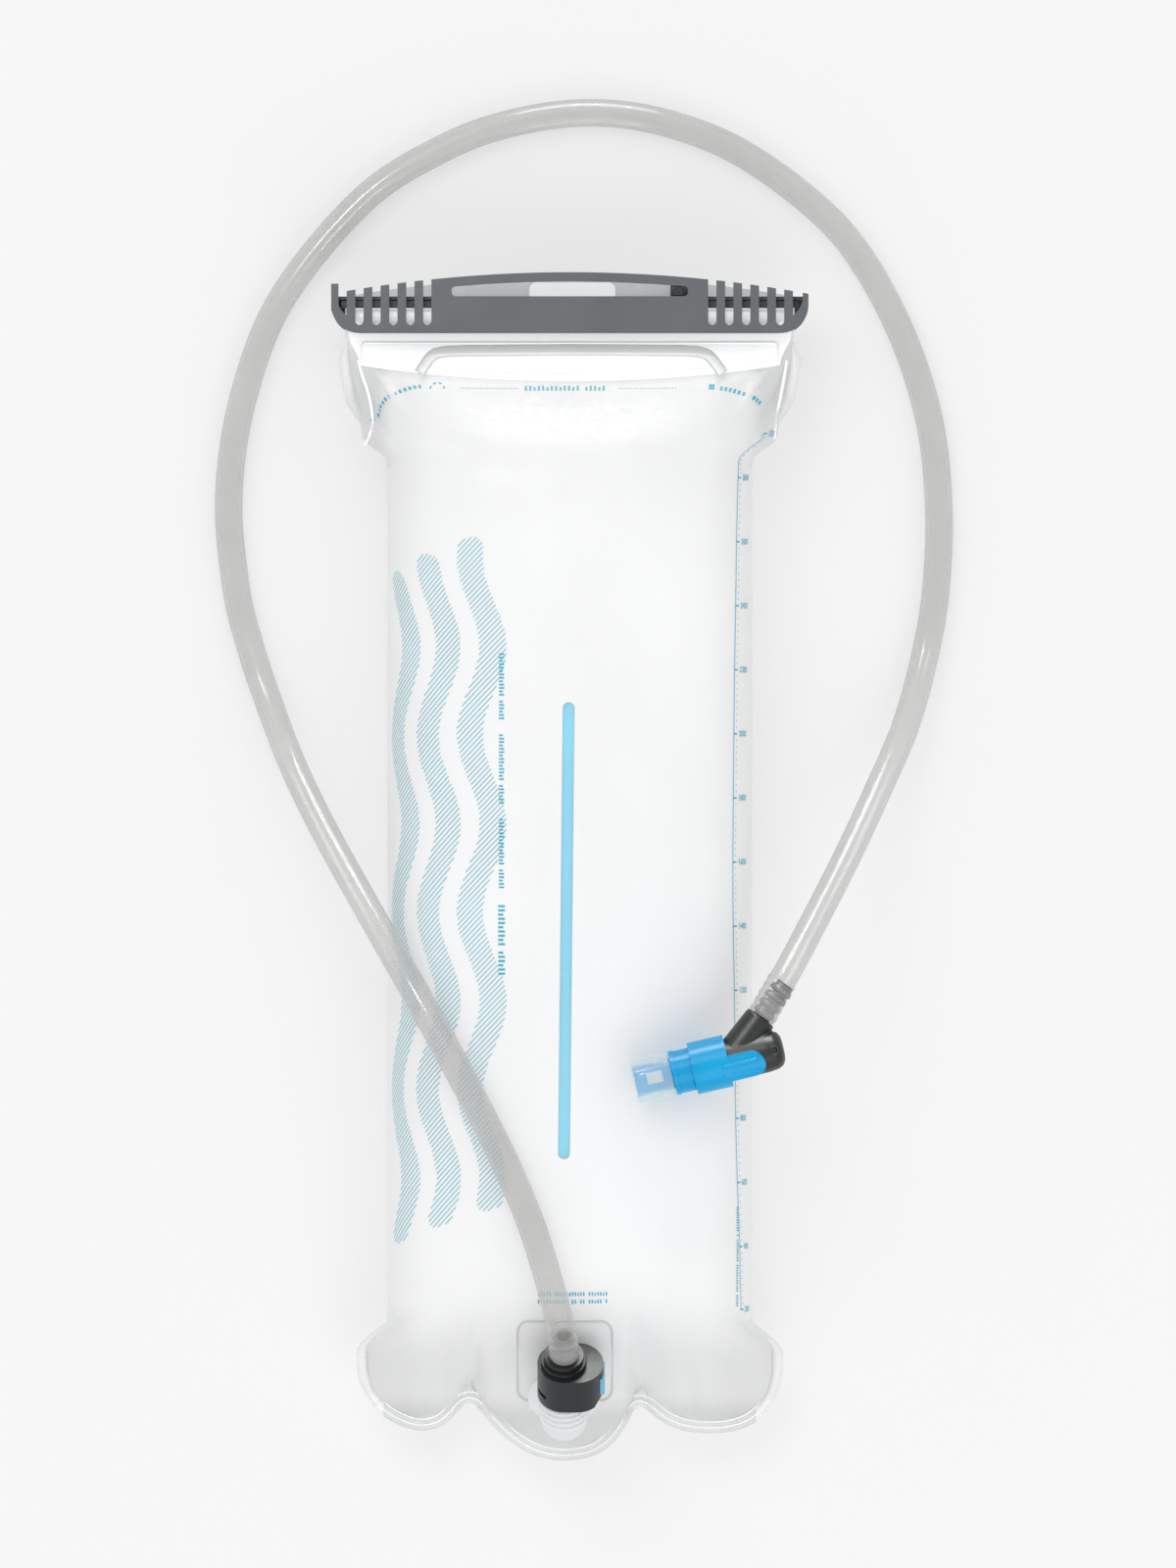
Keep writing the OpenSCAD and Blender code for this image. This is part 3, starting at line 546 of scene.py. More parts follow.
creases = [
    (-79, 176, -62, 150, 2.2, -2.4), (-77, 168, -66, 152, 1.6, 1.8), (-72, 180, -58, 158, 2.4, 1.4),
    (79, 176, 64, 150, 2.2, -2.2), (77, 166, 67, 152, 1.6, 1.7), (73, 180, 58, 158, 2.4, 1.4),
    (-36, -193, -33, -160, 2.6, -2.8), (25, -193, 22, -160, 2.6, -2.6), (-30, -196, -24, -168, 2.0, 1.3),
    (21, -198, 18.5, -176, 2.0, 1.0), (-68, -166, -55, -158, 2.2, -1.8), (69, -166, 56, -158, 2.2, -1.8),
    (-62, -178, -48, -164, 2.5, 1.2), (60, -178, 46, -164, 2.5, 1.2), (-50, -195, -46, -172, 2.6, -1.0),
    (44, -195, 40, -172, 2.6, -1.0), (2, -110, 8, -150, 3.5, 0.5), (-4, -108, -12, -150, 3.5, 0.5),
    (36, 60, 44, 10, 5.0, 0.35), (48, 120, 40, 70, 5.0, 0.35), (-30, 150, -36, 120, 5.0, 0.4),
    (20, 152, 26, 118, 6.0, 0.4), (0, 160, 0, 130, 7.0, 0.5),
]


def ripples(p):
    # long soft waves of the full film, and the creases of the shoulders and the foot
    x, y = p[..., 0], p[..., 1]
    wave = 0.16 * np.sin(x / 9.0 + y / 31.0) * np.sin(y / 23.0 + 1.1) + 0.12 * np.sin(x / 5.3 - y / 17.0 + 0.6)
    total = wave * ease((150 - np.abs(y)) / 25)
    for line in creases:
        total = total + crease(x, y, *line)
    return total


def paintedShadeOf(value, strength, start, span):
    # the strength of a painted shade, eased in over the span past the start
    return strength * ease((value - start) / span)


def frontFilm():
    # sections from mouth to foot, each from side to side over the top, then drawn flat to the bottom edge
    y = rowsOf(film["rows"], bag["topY"], bag["endY"])[:, None]
    u = np.linspace(0, 1, film["columns"])[None, :]
    t = tuckAt(y)
    a = mix(180 + t, -t, u)
    grid = filmPoint(y + 0 * u, a)
    x = grid[-1, :, 0]
    last = np.stack([x, hemY(x), np.full_like(x, bag["hemZ"] + bag["film"])], -1)
    grid = np.concatenate([grid, np.stack([mix(grid[-1], last, s) for s in film["hemSteps"]])])
    across = np.gradient(grid, axis=1)
    along = np.gradient(grid, axis=0)
    normal = np.cross(along, across)
    normal /= np.maximum(1e-9, np.linalg.norm(normal, axis=-1, keepdims=True))
    normal *= np.where(normal[..., 2:].mean() > 0, 1, -1)
    grid = grid + normal * (ripples(grid) * ease((np.abs(normal[..., 2]) - 0.15) / 0.3))[..., None]
    piece = gridPiece("frontFilm", grid, flip=True)
    x, y = np.abs(grid[..., 0]), grid[..., 1]
    pointValue(piece, "thin", np.maximum(ease((x - film["thinX"]) / film["thinSpan"]) * (y > film["thinY"]),
                                         ease((film["thinFootY"] - y) / film["thinFootSpan"])))
    # painted shade: darker at the foot, towards the mouth and down each side
    shade = paintedShadeOf(y, *film["footPaintedShade"]) + paintedShadeOf(y, *film["mouthPaintedShade"]) + paintedShadeOf(x, *film["sidePaintedShade"])
    pointValue(piece, "shade", np.clip(shade, 0, 1))
    modify(piece, "wall", "SOLIDIFY", thickness=film["wall"] * mm, offset=-1)
    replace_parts(piece, "front_panel")
    return finish(piece, "film")


back = {"rows": 180, "columns": 70, "hem": 4.0, "mouthHem": 0.4, "hemY": 180, "hemSpan": 9, "edgeHalf": 72,
        "hemSteps": (0.3, 0.6, 0.8, 1.0)}


def backFilm():
    # the rest of each section, under the bag, with a flat hem added at both sides and drawn to the bottom edge
    y = rowsOf(back["rows"], bag["topY"], bag["endY"])[:, None]
    u = np.linspace(0, 1, back["columns"])[None, :]
    t = tuckAt(y)
    a = mix(180 + t, 360 - t, u)
    path = filmPoint(y + 0 * u, a)
    hem = mix(back["hem"], back["mouthHem"], ease((y[:, 0] - back["hemY"]) / back["hemSpan"]))
    grid = np.concatenate([path[:, :1], path, path[:, -1:]], 1)
    grid[:, 0, 0] -= hem
    grid[:, -1, 0] += hem
    last = grid[-1].copy()
    last[:, 1] = hemY(np.clip(last[:, 0], -back["edgeHalf"], back["edgeHalf"]))
    last[:, 2] = bag["hemZ"]
    grid = np.concatenate([grid, np.stack([mix(grid[-1], last, s) for s in back["hemSteps"]])])
    piece = gridPiece("backFilm", grid, flip=True)
    thin = np.zeros(grid.shape[:2])
    thin[:, [0, -1]] = 1
    thin[-len(back["hemSteps"]):] = 1
    pointValue(piece, "thin", thin)
    modify(piece, "wall", "SOLIDIFY", thickness=film["wall"] * mm, offset=-1)
    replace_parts(piece, "back_panel")
    return finish(piece, "backFilm")


frontFilm()
backFilm()

flap = {"half": 75.2, "flare": 4, "flareY": 178, "flareSpan": 12, "edgeY": 174.1, "edgeBow": 5.6, "bowHalf": 75,
        "lift": 0.7, "more": 0.8, "moreY": 194, "moreSpan": 8, "wall": 0.9, "film": 1.2,
        "wave": 0.3, "waveLength": 13, "rows": 90, "columns": 110}


def overFlap(x, y):
    # the front film, plus the flap's lift and its film
    return frontZ(x, y) + flapLift(y) + flap["film"]


def onHem(x, y):
    # the flat hem at the bottom edge
    return np.full_like(x, bag["hemZ"] + bag["film"])


def bandAlong(name, line, width, height, lift, material, surface=overFlap, closed=False):
    # a flat rounded ridge along a line of the plan, on top of the front film
    line = np.asarray(line, float)
    ahead = np.roll(line, -1, 0) - np.roll(line, 1, 0)
    if not closed:
        ahead[0], ahead[-1] = line[1] - line[0], line[-1] - line[-2]
    ahead = unit(ahead)
    side = np.stack([-ahead[:, 1], ahead[:, 0]], -1)
    profile = np.array([(-0.5, 0), (-0.42, 0.7), (-0.2, 1), (0.2, 1), (0.42, 0.7), (0.5, 0), (0.2, -0.2),
                        (-0.2, -0.2)])
    plan = line[:, None, :] + profile[None, :, :1] * width * side[:, None, :]
    z = surface(plan[..., 0], plan[..., 1]) + lift + profile[None, :, 1] * height
    grid = np.concatenate([plan, z[..., None]], -1)
    rows, columns = grid.shape[:2]
    faces = gridFaces(rows, columns, closeRows=closed, closeColumns=True).tolist()
    if not closed:
        faces.append(list(range(columns)))
        faces.append([(rows - 1) * columns + k for k in range(columns)][::-1])
    return finish(addMesh(name, grid.reshape(-1, 3), faces, True), material)


def flapEdge(x):
    # the free edge, which bows up with the square of x
    return flap["edgeY"] + flap["edgeBow"] * (x / flap["bowHalf"]) ** 2


def flapLift(y):
    # the gap over the film, with some more eased in away from the fold
    return flap["lift"] + flap["more"] * ease((flap["moreY"] - y) / flap["moreSpan"])


def mouthFlap():
    # a sheet over the film from the fold to the free edge, with a small sine wave across its lower part
    f = flap
    t = np.linspace(0, 1, f["rows"])[:, None]
    side = np.linspace(-1, 1, f["columns"])[None, :]
    x = side * (f["half"] + f["flare"] * ease((mix(bag["topY"], f["flareY"], t) - f["flareY"]) / f["flareSpan"]))
    y = mix(bag["topY"], flapEdge(x), t)
    z = overFlap(x, y) + f["wave"] * np.sin(x / f["waveLength"]) * ease(t * 1.4 - 0.4)
    piece = gridPiece("mouthFlap", np.stack([x, y, z], -1)[:, ::-1])
    pointValue(piece, "thin", np.zeros(x.shape))
    modify(piece, "wall", "SOLIDIFY", thickness=f["wall"] * mm, offset=-1)
    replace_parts(piece, "mouth_flap")
    finish(piece, "flap")


mouthFlap()


def smoothOpen(knots, steps):
    # a smooth route whose ends run straight on
    line = np.array(knots, float)
    return smoothRoute(line, 2 * line[0] - line[1], 2 * line[-1] - line[-2], steps)


# the flap's welded outline, the fold, the weld along the free edge, and the grey band
topLine = [(-74.4, 180.6), (-74.4, 184), (-74.4, 186.6), (-73.3, 187.7), (-70, 187.8), (-40, 187.8), (0, 187.8),
           (40, 187.8), (70, 187.8), (73.3, 187.7), (74.4, 186.6), (74.4, 184), (74.4, 180.6)]
bandAlong("flapWeldTop", smoothOpen(topLine, 7), 1.0, 0.5, -0.1, "weld")
foldLine = np.stack([np.linspace(-78, 78, 40), np.full(40, 196.75)], -1)
bandAlong("mouthFold", foldLine, 5.7, 3.4, 0.1, "fold")
edgeX = np.linspace(-75.4, 75, 80)
bandAlong("flapWeldEdge", np.stack([edgeX, flapEdge(edgeX) + 1.6], -1), 1.0, 0.4, -0.1, "weld")
bandLine = np.array([(-53.6, 176.4), (-51.8, 179.4), (-50, 182), (-48, 183.6), (-45, 184.3), (-38, 184.6),
                     (-20, 184.8), (0, 184.9), (20, 184.8), (40, 184.6), (46, 184.3), (49, 183.3), (51, 181.4),
                     (53, 178.8), (54.6, 176.2)], float)
samples = np.linspace(0, len(bandLine) - 1, 90)
smoothBand = np.stack([np.interp(samples, np.arange(len(bandLine)), bandLine[:, k]) for k in (0, 1)], -1)
stiffener = bandAlong("stiffenerBand", smoothBand, 4.2, 0.6, 0.35, "stiffener")
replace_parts(stiffener, "flap_stiffener")


def insideHem(away):
    # the bottom edge moved inwards along its normal, without the points that would run backwards
    line = lobeLine[(lobeLine[:, 0] > -75) & (lobeLine[:, 0] < 74)]
    ahead = unit(np.gradient(line, axis=0))
    moved = line + away * np.stack([-ahead[:, 1], ahead[:, 0]], -1)
    keep = np.concatenate([[True], np.diff(moved[:, 0]) > 0.05])
    return moved[keep]


for name, away in (("hemWeldOuter", 2.0), ("hemWeldInner", 4.1)):
    bandAlong(name, insideHem(away), 0.55, 0.35, -0.05, "weld", onHem)

# the outline of the patch round the port: four quarter circles
patchLine = []
for cx, cy, start in ((11.0, -165.5, 0), (-14.5, -165.5, 90), (-14.5, -186.5, 180), (11.0, -186.5, 270)):
    turn = np.radians(np.linspace(start, start + 90, 9))
    patchLine += np.stack([cx + 4.2 * np.cos(turn), cy + 4.2 * np.sin(turn)], -1).tolist()
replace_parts(bandAlong("patchEdge", patchLine, 0.7, 0.4, 0.5, "patch", filmSkin, True), "port_patch")
ears = {
    "earRidgeLeft": [(-75.6, 181.5), (-74.2, 176), (-72.3, 170.6), (-70.9, 164.5), (-70.4, 158.7), (-71.6, 154),
                     (-73.4, 150.6)],
    "earRidgeRight": [(77.6, 181.5), (76.6, 175.5), (75.4, 169), (74.2, 163), (73.3, 157), (73.2, 153)],
}
for name, knots in ears.items():
    bandAlong(name, smoothOpen(knots, 5), 1.1, 0.5, 0.1, "weld", frontZ)

print("stage: closure")
# for each body, the nodes with the width of their rounded edges and their material
copies = [
    ("reservoir", [("front_rail", 0.4, "dark"), ("rear_rail", 0.4, "dark"), ("hang_tab", 0.3, "tab"),
                   ("front_baffle_strip", 0.4, "strip"), ("rear_baffle_strip", 0.3, "strip"),
                   ("port_neck", 0.35, "clearPort"), ("port_insert", 0.2, "white"), ("port_oring", 0, "rubber"),
                   ("poppet_spring", 0, "steel")]),
    ("poppet", [("port_poppet", 0.15, "white")]),
    ("slide_clip", [("clip_front", 0.8, "plate"), ("clip_rear", 0.5, "dark"), ("tether_stud", 0.4, "blackPlastic")]),
    ("hose_line", [("coupling_housing", 0.7, "coupling"), ("button_spring", 0, "steel")]),
    ("release_button", [("release_button", 0.6, "button")]),
    ("hose_line", [("coupling_barb", 0.1, "barb"), ("valve_barb", 0.1, "barb")]),
    ("twist_valve", [("valve_oring", 0, "rubber"), ("valve_core", 0.3, "blue"), ("twist_collar", 0.7, "blue")]),
]


def pieceName(node):
    # the node's words run together, with capitals inside
    head, *rest = node.replace("oring", "ring").split("_")
    return head + "".join(word.title() for word in rest)


for body, rows in copies:
    for node, bevel, material in rows:
        finish(mouldedCopy(pieceName(node), node, bevel), material, body)

print("stage: valve")


def capsule(name, start, end, r, place, sides=20):
    # a rod with half-sphere ends between two points of place's own axes
    start, end = np.asarray(start, float), np.asarray(end, float)
    ahead = unit(end - start)
    across = unit(np.cross(ahead, [0.3, 0.5, 0.81]))
    up = np.cross(ahead, across)
    bend = np.linspace(0, np.pi / 2, 8)[1:]
    along = np.concatenate([-r * np.cos(bend), np.linalg.norm(end - start) + r * np.cos(bend[::-1])])
    radius = np.concatenate([r * np.sin(bend), r * np.sin(bend[::-1])])
    turn = circle(sides)
    ring = np.cos(turn)[None, :, None] * across + np.sin(turn)[None, :, None] * up
    grid = start + along[:, None, None] * ahead + radius[:, None, None] * ring
    faces = gridFaces(len(along), sides, closeColumns=True)[:, ::-1].tolist()
    faces.append(list(range(sides)))
    faces.append([(len(along) - 1) * sides + k for k in range(sides)][::-1])
    return addMesh(name, place(grid.reshape(-1, 3)), faces, True)


def solidLathe(name, profile, place, sides=64):
    # a turned solid whose profile begins and ends on the axis; its ends are fans
    profile = np.asarray(profile, float)
    local = turned(profile[1:-1], sides)
    count = len(profile) - 2
    faces = gridFaces(count, sides, closeColumns=True).tolist()
    k = np.arange(sides)
    tips, last = len(local), (count - 1) * sides
    faces += np.stack([np.full(sides, tips), (k + 1) % sides, k], -1).tolist()
    faces += np.stack([np.full(sides, tips + 1), last + k, last + (k + 1) % sides], -1).tolist()
    local = np.concatenate([local, [[0, 0, profile[0, 0]], [0, 0, profile[-1, 0]]]])
    return addMesh(name, place(local), faces, True)


def fused(name, parts, voxel, smooth, cutters=()):
    # several solids made one by remeshing, with the inner corners softened
    bpy.ops.object.select_all(action="DESELECT")
    for part in parts:
        part.select_set(True)
    bpy.context.view_layer.objects.active = parts[0]
    bpy.ops.object.join()
    whole = bpy.context.view_layer.objects.active
    whole.name = whole.data.name = name
    modify(whole, "skin", "REMESH", mode="VOXEL", voxel_size=voxel * mm)
    modify(whole, "soften", "SMOOTH", factor=0.5, iterations=smooth)
    bpy.ops.object.modifier_apply(modifier="skin")
    bpy.ops.object.modifier_apply(modifier="soften")
    for cutter in cutters:
        modify(whole, "cut", "BOOLEAN", operation="DIFFERENCE", object=cutter)
        bpy.ops.object.modifier_apply(modifier="cut")
        bpy.data.objects.remove(cutter)
    smoothShaded(whole.data)
    return whole


# radii of a grip ring, and the shares of the pitch where its cone and its step end
grip = {"foot": 4.3, "lip": 3.95, "root": 3.42, "bore": 3.36, "cone": 0.55, "step": 0.62, "end": 0.99}


def gripRings(name, start, count, pitch, place):
    # cones one behind another, each with a sharp foot that bites into the hose
    g = grip
    one = np.array([(0, g["foot"]), (g["cone"] * pitch, g["lip"]), (g["step"] * pitch, g["root"]),
                    (g["end"] * pitch, g["root"])])
    outside = np.concatenate([one + [start + k * pitch, 0] for k in range(count)])
    inside = np.array([(outside[-1, 0], g["bore"]), (outside[0, 0], g["bore"])])
    rings = lathe(name, np.concatenate([outside, inside]), place, 48)
    # painted highlight: the rings take the lighter copy of the barb plastic
    finish(rings, "rings", "hose_line")


elbow = {
    "barrel": [(23, 0), (23, 7.0), (23.4, 7.4), (40, 7.4), (48.5, 7.3), (51.5, 6.9), (53.3, 6.0), (54.3, 4.4),
               (54.6, 2.2), (54.6, 0)],
    "neck": [(0, 0), (0, 6.3), (8, 6.1), (18.3, 5.7), (18.9, 5.2), (18.9, 0)],
    "bore": [(22, 0), (22, 6.1), (37, 6.1), (37, 0)], "mouth": [(15.9, 0), (15.9, 3.4), (20, 3.4), (20, 0)],
    "voxel": 0.33, "smooth": 5, "markAt": (-6.75, 0, 51.0), "markRadius": 1.55, "markWire": 0.24,
}


def makeElbow():
    # barrel and neck made one, bored for the core and for the barb, and a round mark near the back
    places = {"barrel": onValve, "neck": onElbow, "bore": onValve, "mouth": onElbow}
    solids = [solidLathe(name, elbow[name], place) for name, place in places.items()]
    whole = fused("valveElbow", solids[:2], elbow["voxel"], elbow["smooth"], solids[2:])
    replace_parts(whole, "valve_elbow")
    finish(whole, "elbow", "hose_line")
    turn = circle(40)
    ring = elbow["markAt"] + elbow["markRadius"] * np.stack([0 * turn, np.cos(turn), np.sin(turn)], -1)
    finish(ringTube("elbowMark", ring, elbow["markWire"], onValve), "dark", "hose_line")


def ringTube(name, line, r, place, sides=8):
    # a closed round wire along a ring of points
    ahead = unit(np.roll(line, -1, 0) - np.roll(line, 1, 0))
    out = unit(line - line.mean(0))
    up = np.cross(ahead, out)
    turn = circle(sides)
    across, above = np.cos(turn)[None, :, None], np.sin(turn)[None, :, None]
    grid = line[:, None] + r * (across * out[:, None] + above * up[:, None])
    faces = gridFaces(len(line), sides, closeRows=True, closeColumns=True)
    return addMesh(name, place(grid.reshape(-1, 3)), faces, True)


makeElbow()
gripRings("valveGripRings", 19.9, 4, 3.3, onElbow)
gripRings("couplingGripRings", 31.0, 4, 3.1, onPort)
ridges = {"turns": (191, 215), "out": 9.1, "start": 32.5, "end": 44.2, "radius": 0.8}
for degrees in ridges["turns"]:
    a = np.radians(degrees)
    spot = np.array([np.cos(a), np.sin(a), 0]) * ridges["out"]
    ridge = capsule("armRidge", spot + [0, 0, ridges["start"]], spot + [0, 0, ridges["end"]], ridges["radius"], onValve)
    finish(ridge, "blue", "twist_valve")
bite = lathe("bitePiece", [(0.5, 6.2), (0.1, 6.8), (0.15, 7.4), (0.8, 7.75), (4, 8.0), (8.2, 8.3), (9.3, 8.3),
                           (10.2, 8.05), (10.9, 7.75), (12.2, 7.7), (13.5, 7.75), (13.9, 7.4), (13.9, 5.75),
                           (7, 5.75), (1.4, 5.75)], onValve)
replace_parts(bite, "mouthpiece")
finish(bite, "silicone", "bite_mouthpiece")

print("stage: hose")
hose = {
    "outside": 5.0, "inside": 3.6, "sides": 36, "swell": 0.35, "pitch": 3.3, "gripped": 17.0,
    "knots": [[-2.2, -169.4, 77.6], [-3.8, -159.5, 83], [-8, -144, 84.8], [-14.5, -124, 82.5], [-25, -100, 80],
              [-40, -71, 77.5], [-55, -44, 71], [-70, -18, 58], [-87, 12, 38], [-99, 36, 21], [-108, 59, 10.5],
              [-115, 80, 6.2], [-120, 101, 5.2], [-122.5, 134, 5.2], [-117, 170, 5.2], [-103, 205, 5.2],
              [-74, 240, 5.2], [-45, 258.5, 5.2], [-20, 267.5, 5.2], [6.5, 271, 5.2], [32, 268, 5.2],
              [59, 258, 5.2], [85, 240, 5.2], [103, 221, 5.2], [119, 192, 5.2], [129, 161, 5.2], [132.5, 130, 5.2],
              [131.5, 100, 5.2], [127.5, 76, 6.5], [120.5, 51, 13], [110, 27, 25.5], [99.5, 5, 42], [88, -17, 61],
              [78.5, -34.5, 76], [71.5, -46.5, 83.5]],
}


def tubeAlong(line, radii, sides):
    # rings square to the line, with one axis kept level, for each radius
    ahead = unit(np.gradient(line, axis=0))
    level = unit(np.cross(ahead, [0, 0, 1.0]))
    up = np.cross(level, ahead)
    turn = circle(sides)
    ring = np.cos(turn)[None, :, None] * level[:, None, :] + np.sin(turn)[None, :, None] * up[:, None, :]
    return [line[:, None, :] + r * ring for r in radii]


def makeHose():
    # a tube along the smooth route; near its ends it swells with the square of a sine over each grip ring
    lead = onPort(np.array([[0, 0, 30.0], [0, 0, 24.0]]))
    tail = onElbow(np.array([[0, 0, valve["neck"]], [0, 0, valve["neck"] + 6]]))
    end = tail[0]
    beyond = tail[0] - (tail[1] - tail[0])
    knots = np.array([lead[0].tolist()] + hose["knots"] + [end.tolist()])
    line = smoothRoute(knots, lead[1], beyond, 22)
    travel = np.concatenate([[0], np.cumsum(np.linalg.norm(np.diff(line, axis=0), axis=1))])
    nearest = np.minimum(travel, travel[-1] - travel)
    swell = hose["swell"] * np.sin(np.pi * nearest / hose["pitch"]) ** 2 * ease((hose["gripped"] - nearest) / 1.5)
    outer, inner = tubeAlong(line, (hose["outside"] + swell[:, None, None], hose["inside"]), hose["sides"])
    grid = np.concatenate([outer, inner[::-1]])
    faces = gridFaces(*grid.shape[:2], closeRows=True, closeColumns=True)
    piece = addMesh("drinkingHose", grid.reshape(-1, 3), faces, True)
    pointValue(piece, "bore", np.repeat([0, 1], outer.size // 3))
    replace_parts(piece, "hose")
    finish(piece, "hose", "hose_line")
    print("hose length", round(travel[-1], 1), "mm")
    return piece, line, float(travel[-1])


hosePiece, hoseLine, hoseLength = makeHose()

print("stage: printing")


def arcTable():
    # length along the section from the crown, for each angle
    a = np.linspace(90, -20, 1200)
    p = filmPoint(np.zeros_like(a), a)
    s = np.concatenate([[0], np.cumsum(np.hypot(np.diff(p[:, 0]), np.diff(p[:, 2])))])
    return a, p[:, 0], s


tableAngle, tableX, tableArc = arcTable()


def onFilm(s, y, lift=0.22):
    # s is the length round the section from the crown, to the right
    a = np.interp(np.abs(s), tableArc, tableAngle)
    a = np.where(s >= 0, a, 180 - a)
    return filmPoint(y, a, lift + ripples(filmPoint(y, a)))


def arcOf(x):
    # the length from the crown for a point of the plan at the middle of the bag
    return np.sign(x) * np.interp(np.abs(x), tableX, tableArc)


printed = {"points": [], "faces": [], "count": 0}


def printStroke(s0, y0, s1, y1, width, parts=None):
    # a straight stroke of ink between two points of the film, in short lengths that follow it
    start, end = np.array([s0, y0]), np.array([s1, y1])
    span = np.linalg.norm(end - start)
    count = parts or max(2, int(span / 1.6) + 2)
    t = np.linspace(0, 1, count)[:, None]
    side = np.array([-(end - start)[1], (end - start)[0]]) / max(span, 1e-6) * width / 2
    flat = np.stack([start + t * (end - start) + side, start + t * (end - start) - side], 1).reshape(-1, 2)
    printed["points"].append(onFilm(flat[:, 0], flat[:, 1]))
    base = printed["count"] + 2 * np.arange(count - 1)
    printed["faces"].append(np.stack([base, base + 1, base + 3, base + 2], -1))
    printed["count"] += 2 * count


def printDot(s, y, r):
    # a square dot, twice r across
    printStroke(s - r, y, s + r, y, 2 * r, 2)


# bow rows are how far the line bows out, and at what distance from the middle of the bag
scale = {"side": arcOf(58.6) - 0.9, "top": 161.9, "step": 22.83, "steps": 15, "dots": 10, "first": 154.85,
         "volume": 200, "digits": 3.0, "mouthBow": (3.2, 139), "footBow": (5.2, 158)}


def scaleLine(y):
    # bows outwards with the square of the distance from the middle of the bag
    bow, far = scale["mouthBow"] if y > 0 else scale["footBow"]
    return scale["side"] + bow * (y / far) ** 2


def printScale():
    # a thin line with a tick and a number at each step, and a small dot at each tenth of a step
    levels = [scale["first"]] + [scale["top"] - k * scale["step"] for k in range(1, scale["steps"])]
    for k, y in enumerate(levels):
        s = scaleLine(y)
        printStroke(s, y, s + 1.9, y, 0.5)
        numberMesh(str(scale["volume"] * (scale["steps"] - k)), scale["digits"], s + 3.0, y)
    for y, below in zip(levels[:-1], levels[1:]):
        marks = np.linspace(y, below, scale["dots"] + 1)
        for a, b in zip(marks[:-1], marks[1:]):
            printStroke(scaleLine(a), a, scaleLine(b), b, 0.30)
        for a in marks[1:-1]:
            printDot(scaleLine(a) + 1.5, a, 0.2)


def numberMesh(text, size, s, y):
    # a number as flat faces, laid on the film
    curve = bpy.data.curves.new("number", "FONT")
    curve.body = text
    curve.size = size
    curve.align_x = "LEFT"
    curve.align_y = "CENTER"
    holder = show(bpy.data.objects.new("number", curve))
    bpy.context.view_layer.update()
    flat = bpy.data.meshes.new_from_object(holder)
    bpy.data.objects.remove(holder)
    co = np.zeros(len(flat.vertices) * 3)
    flat.vertices.foreach_get("co", co)
    co = co.reshape(-1, 3)
    printed["points"].append(onFilm(s + co[:, 0], y + co[:, 1]))
    for face in flat.polygons:
        printed["faces"].append(np.array([[v + printed["count"] for v in face.vertices]]))
    printed["count"] += len(co)


printScale()

# a plain hatched pattern: three wavy bands side by side, cut out of diagonal lines
motif = {"pitch": 1.95, "slope": 0.72, "left": -78.0, "right": -22.0, "top": 119.0, "bottom": -136.0, "width": 0.24,
         "middles": (-64.5, -48.0, -31.5), "swing": 4.2, "wave": 63.0, "half": 5.0, "reach": 115,
         "centre": -14, "step": 6}


def insideMotif(s, y):
    # near the middle line of any band, with round ends that step up from band to band
    m = motif
    inside = np.zeros(s.shape, bool)
    for k, middle in enumerate(m["middles"]):
        away = s - middle - m["swing"] * np.sin(2 * np.pi * y / m["wave"])
        past = np.maximum(0, np.abs(y - m["centre"] - m["step"] * k) - m["reach"])
        inside |= np.hypot(away, past) < m["half"]
    return inside


def printMotif():
    # parallel lines a pitch apart, each cut where it enters and leaves a band
    m = motif
    direction = np.array([np.sqrt(1 - m["slope"] ** 2), m["slope"]])
    offset = np.arange(m["bottom"] - 60, m["top"] + 60, m["pitch"])
    t = np.arange(0, (m["right"] - m["left"]) / direction[0], 0.5)
    for q in offset:
        s = m["left"] + t * direction[0]
        y = q + t * direction[1]
        inside = insideMotif(s, y)
        edges = np.flatnonzero(np.diff(np.concatenate([[0], inside.astype(int), [0]])))
        for a, b in zip(edges[::2], edges[1::2]):
            if b - a > 2:
                printStroke(s[a], y[a], s[b - 1], y[b - 1], m["width"])


printMotif()


def tickRow(s, y, count, tall, pitch, gaps, upright=False):
    # fine ticks a pitch apart in place of a line of small print, some left out and every third one shorter
    for k in range(count):
        if k % (gaps[k % len(gaps)] + 1) == 0:
            continue
        run, h = k * pitch, tall * (0.75 if k % 3 == 0 else 1.0)
        if upright:
            printStroke(s - tall / 2, y + run, s - tall / 2 + h, y + run, 0.45 * pitch, 2)
        else:
            printStroke(s + run, y - tall / 2, s + run, y - tall / 2 + h, 0.45 * pitch, 2)


# rows of ticks for the notes beside the strip, and marks of the fill line
for y, count, tall, pitch in [(-39, 18, 2.4, 1.5), (-8, 22, 1.8, 1.2), (22, 22, 1.8, 1.2), (52, 21, 1.8, 1.2)]:
    tickRow(-24.2, y, count, tall, pitch, (5, 8, 6, 11, 4), True)
tickRow(-14.5, 171.0, 20, 1.7, 1.3, (3, 4, 9, 4, 6))
tickRow(scaleLine(-157.0) - 2.6, -157.0, 41, 1.2, 0.9, (6, 9, 5, 7), True)
tickRow(-12.0, -151.0, 26, 1.3, 1.0, (6, 9, 5, 7))
tickRow(-12.0, -153.6, 26, 1.3, 1.0, (5, 7, 8, 4))


def arcMark(cx, cy, r, start, end, dashes, width):
    # short strokes along part of a circle of the plan, whose x is scaled back to the middle of the bag
    turn = np.radians(np.linspace(start, end, 2 * dashes))
    x, y = cx + r * np.cos(turn), cy + r * np.sin(turn)
    s = arcOf(x * halfWidth(0.0) / halfWidth(y))
    for k in range(0, 2 * dashes, 2):
        printStroke(s[k], y[k], s[k + 1], y[k + 1], width)


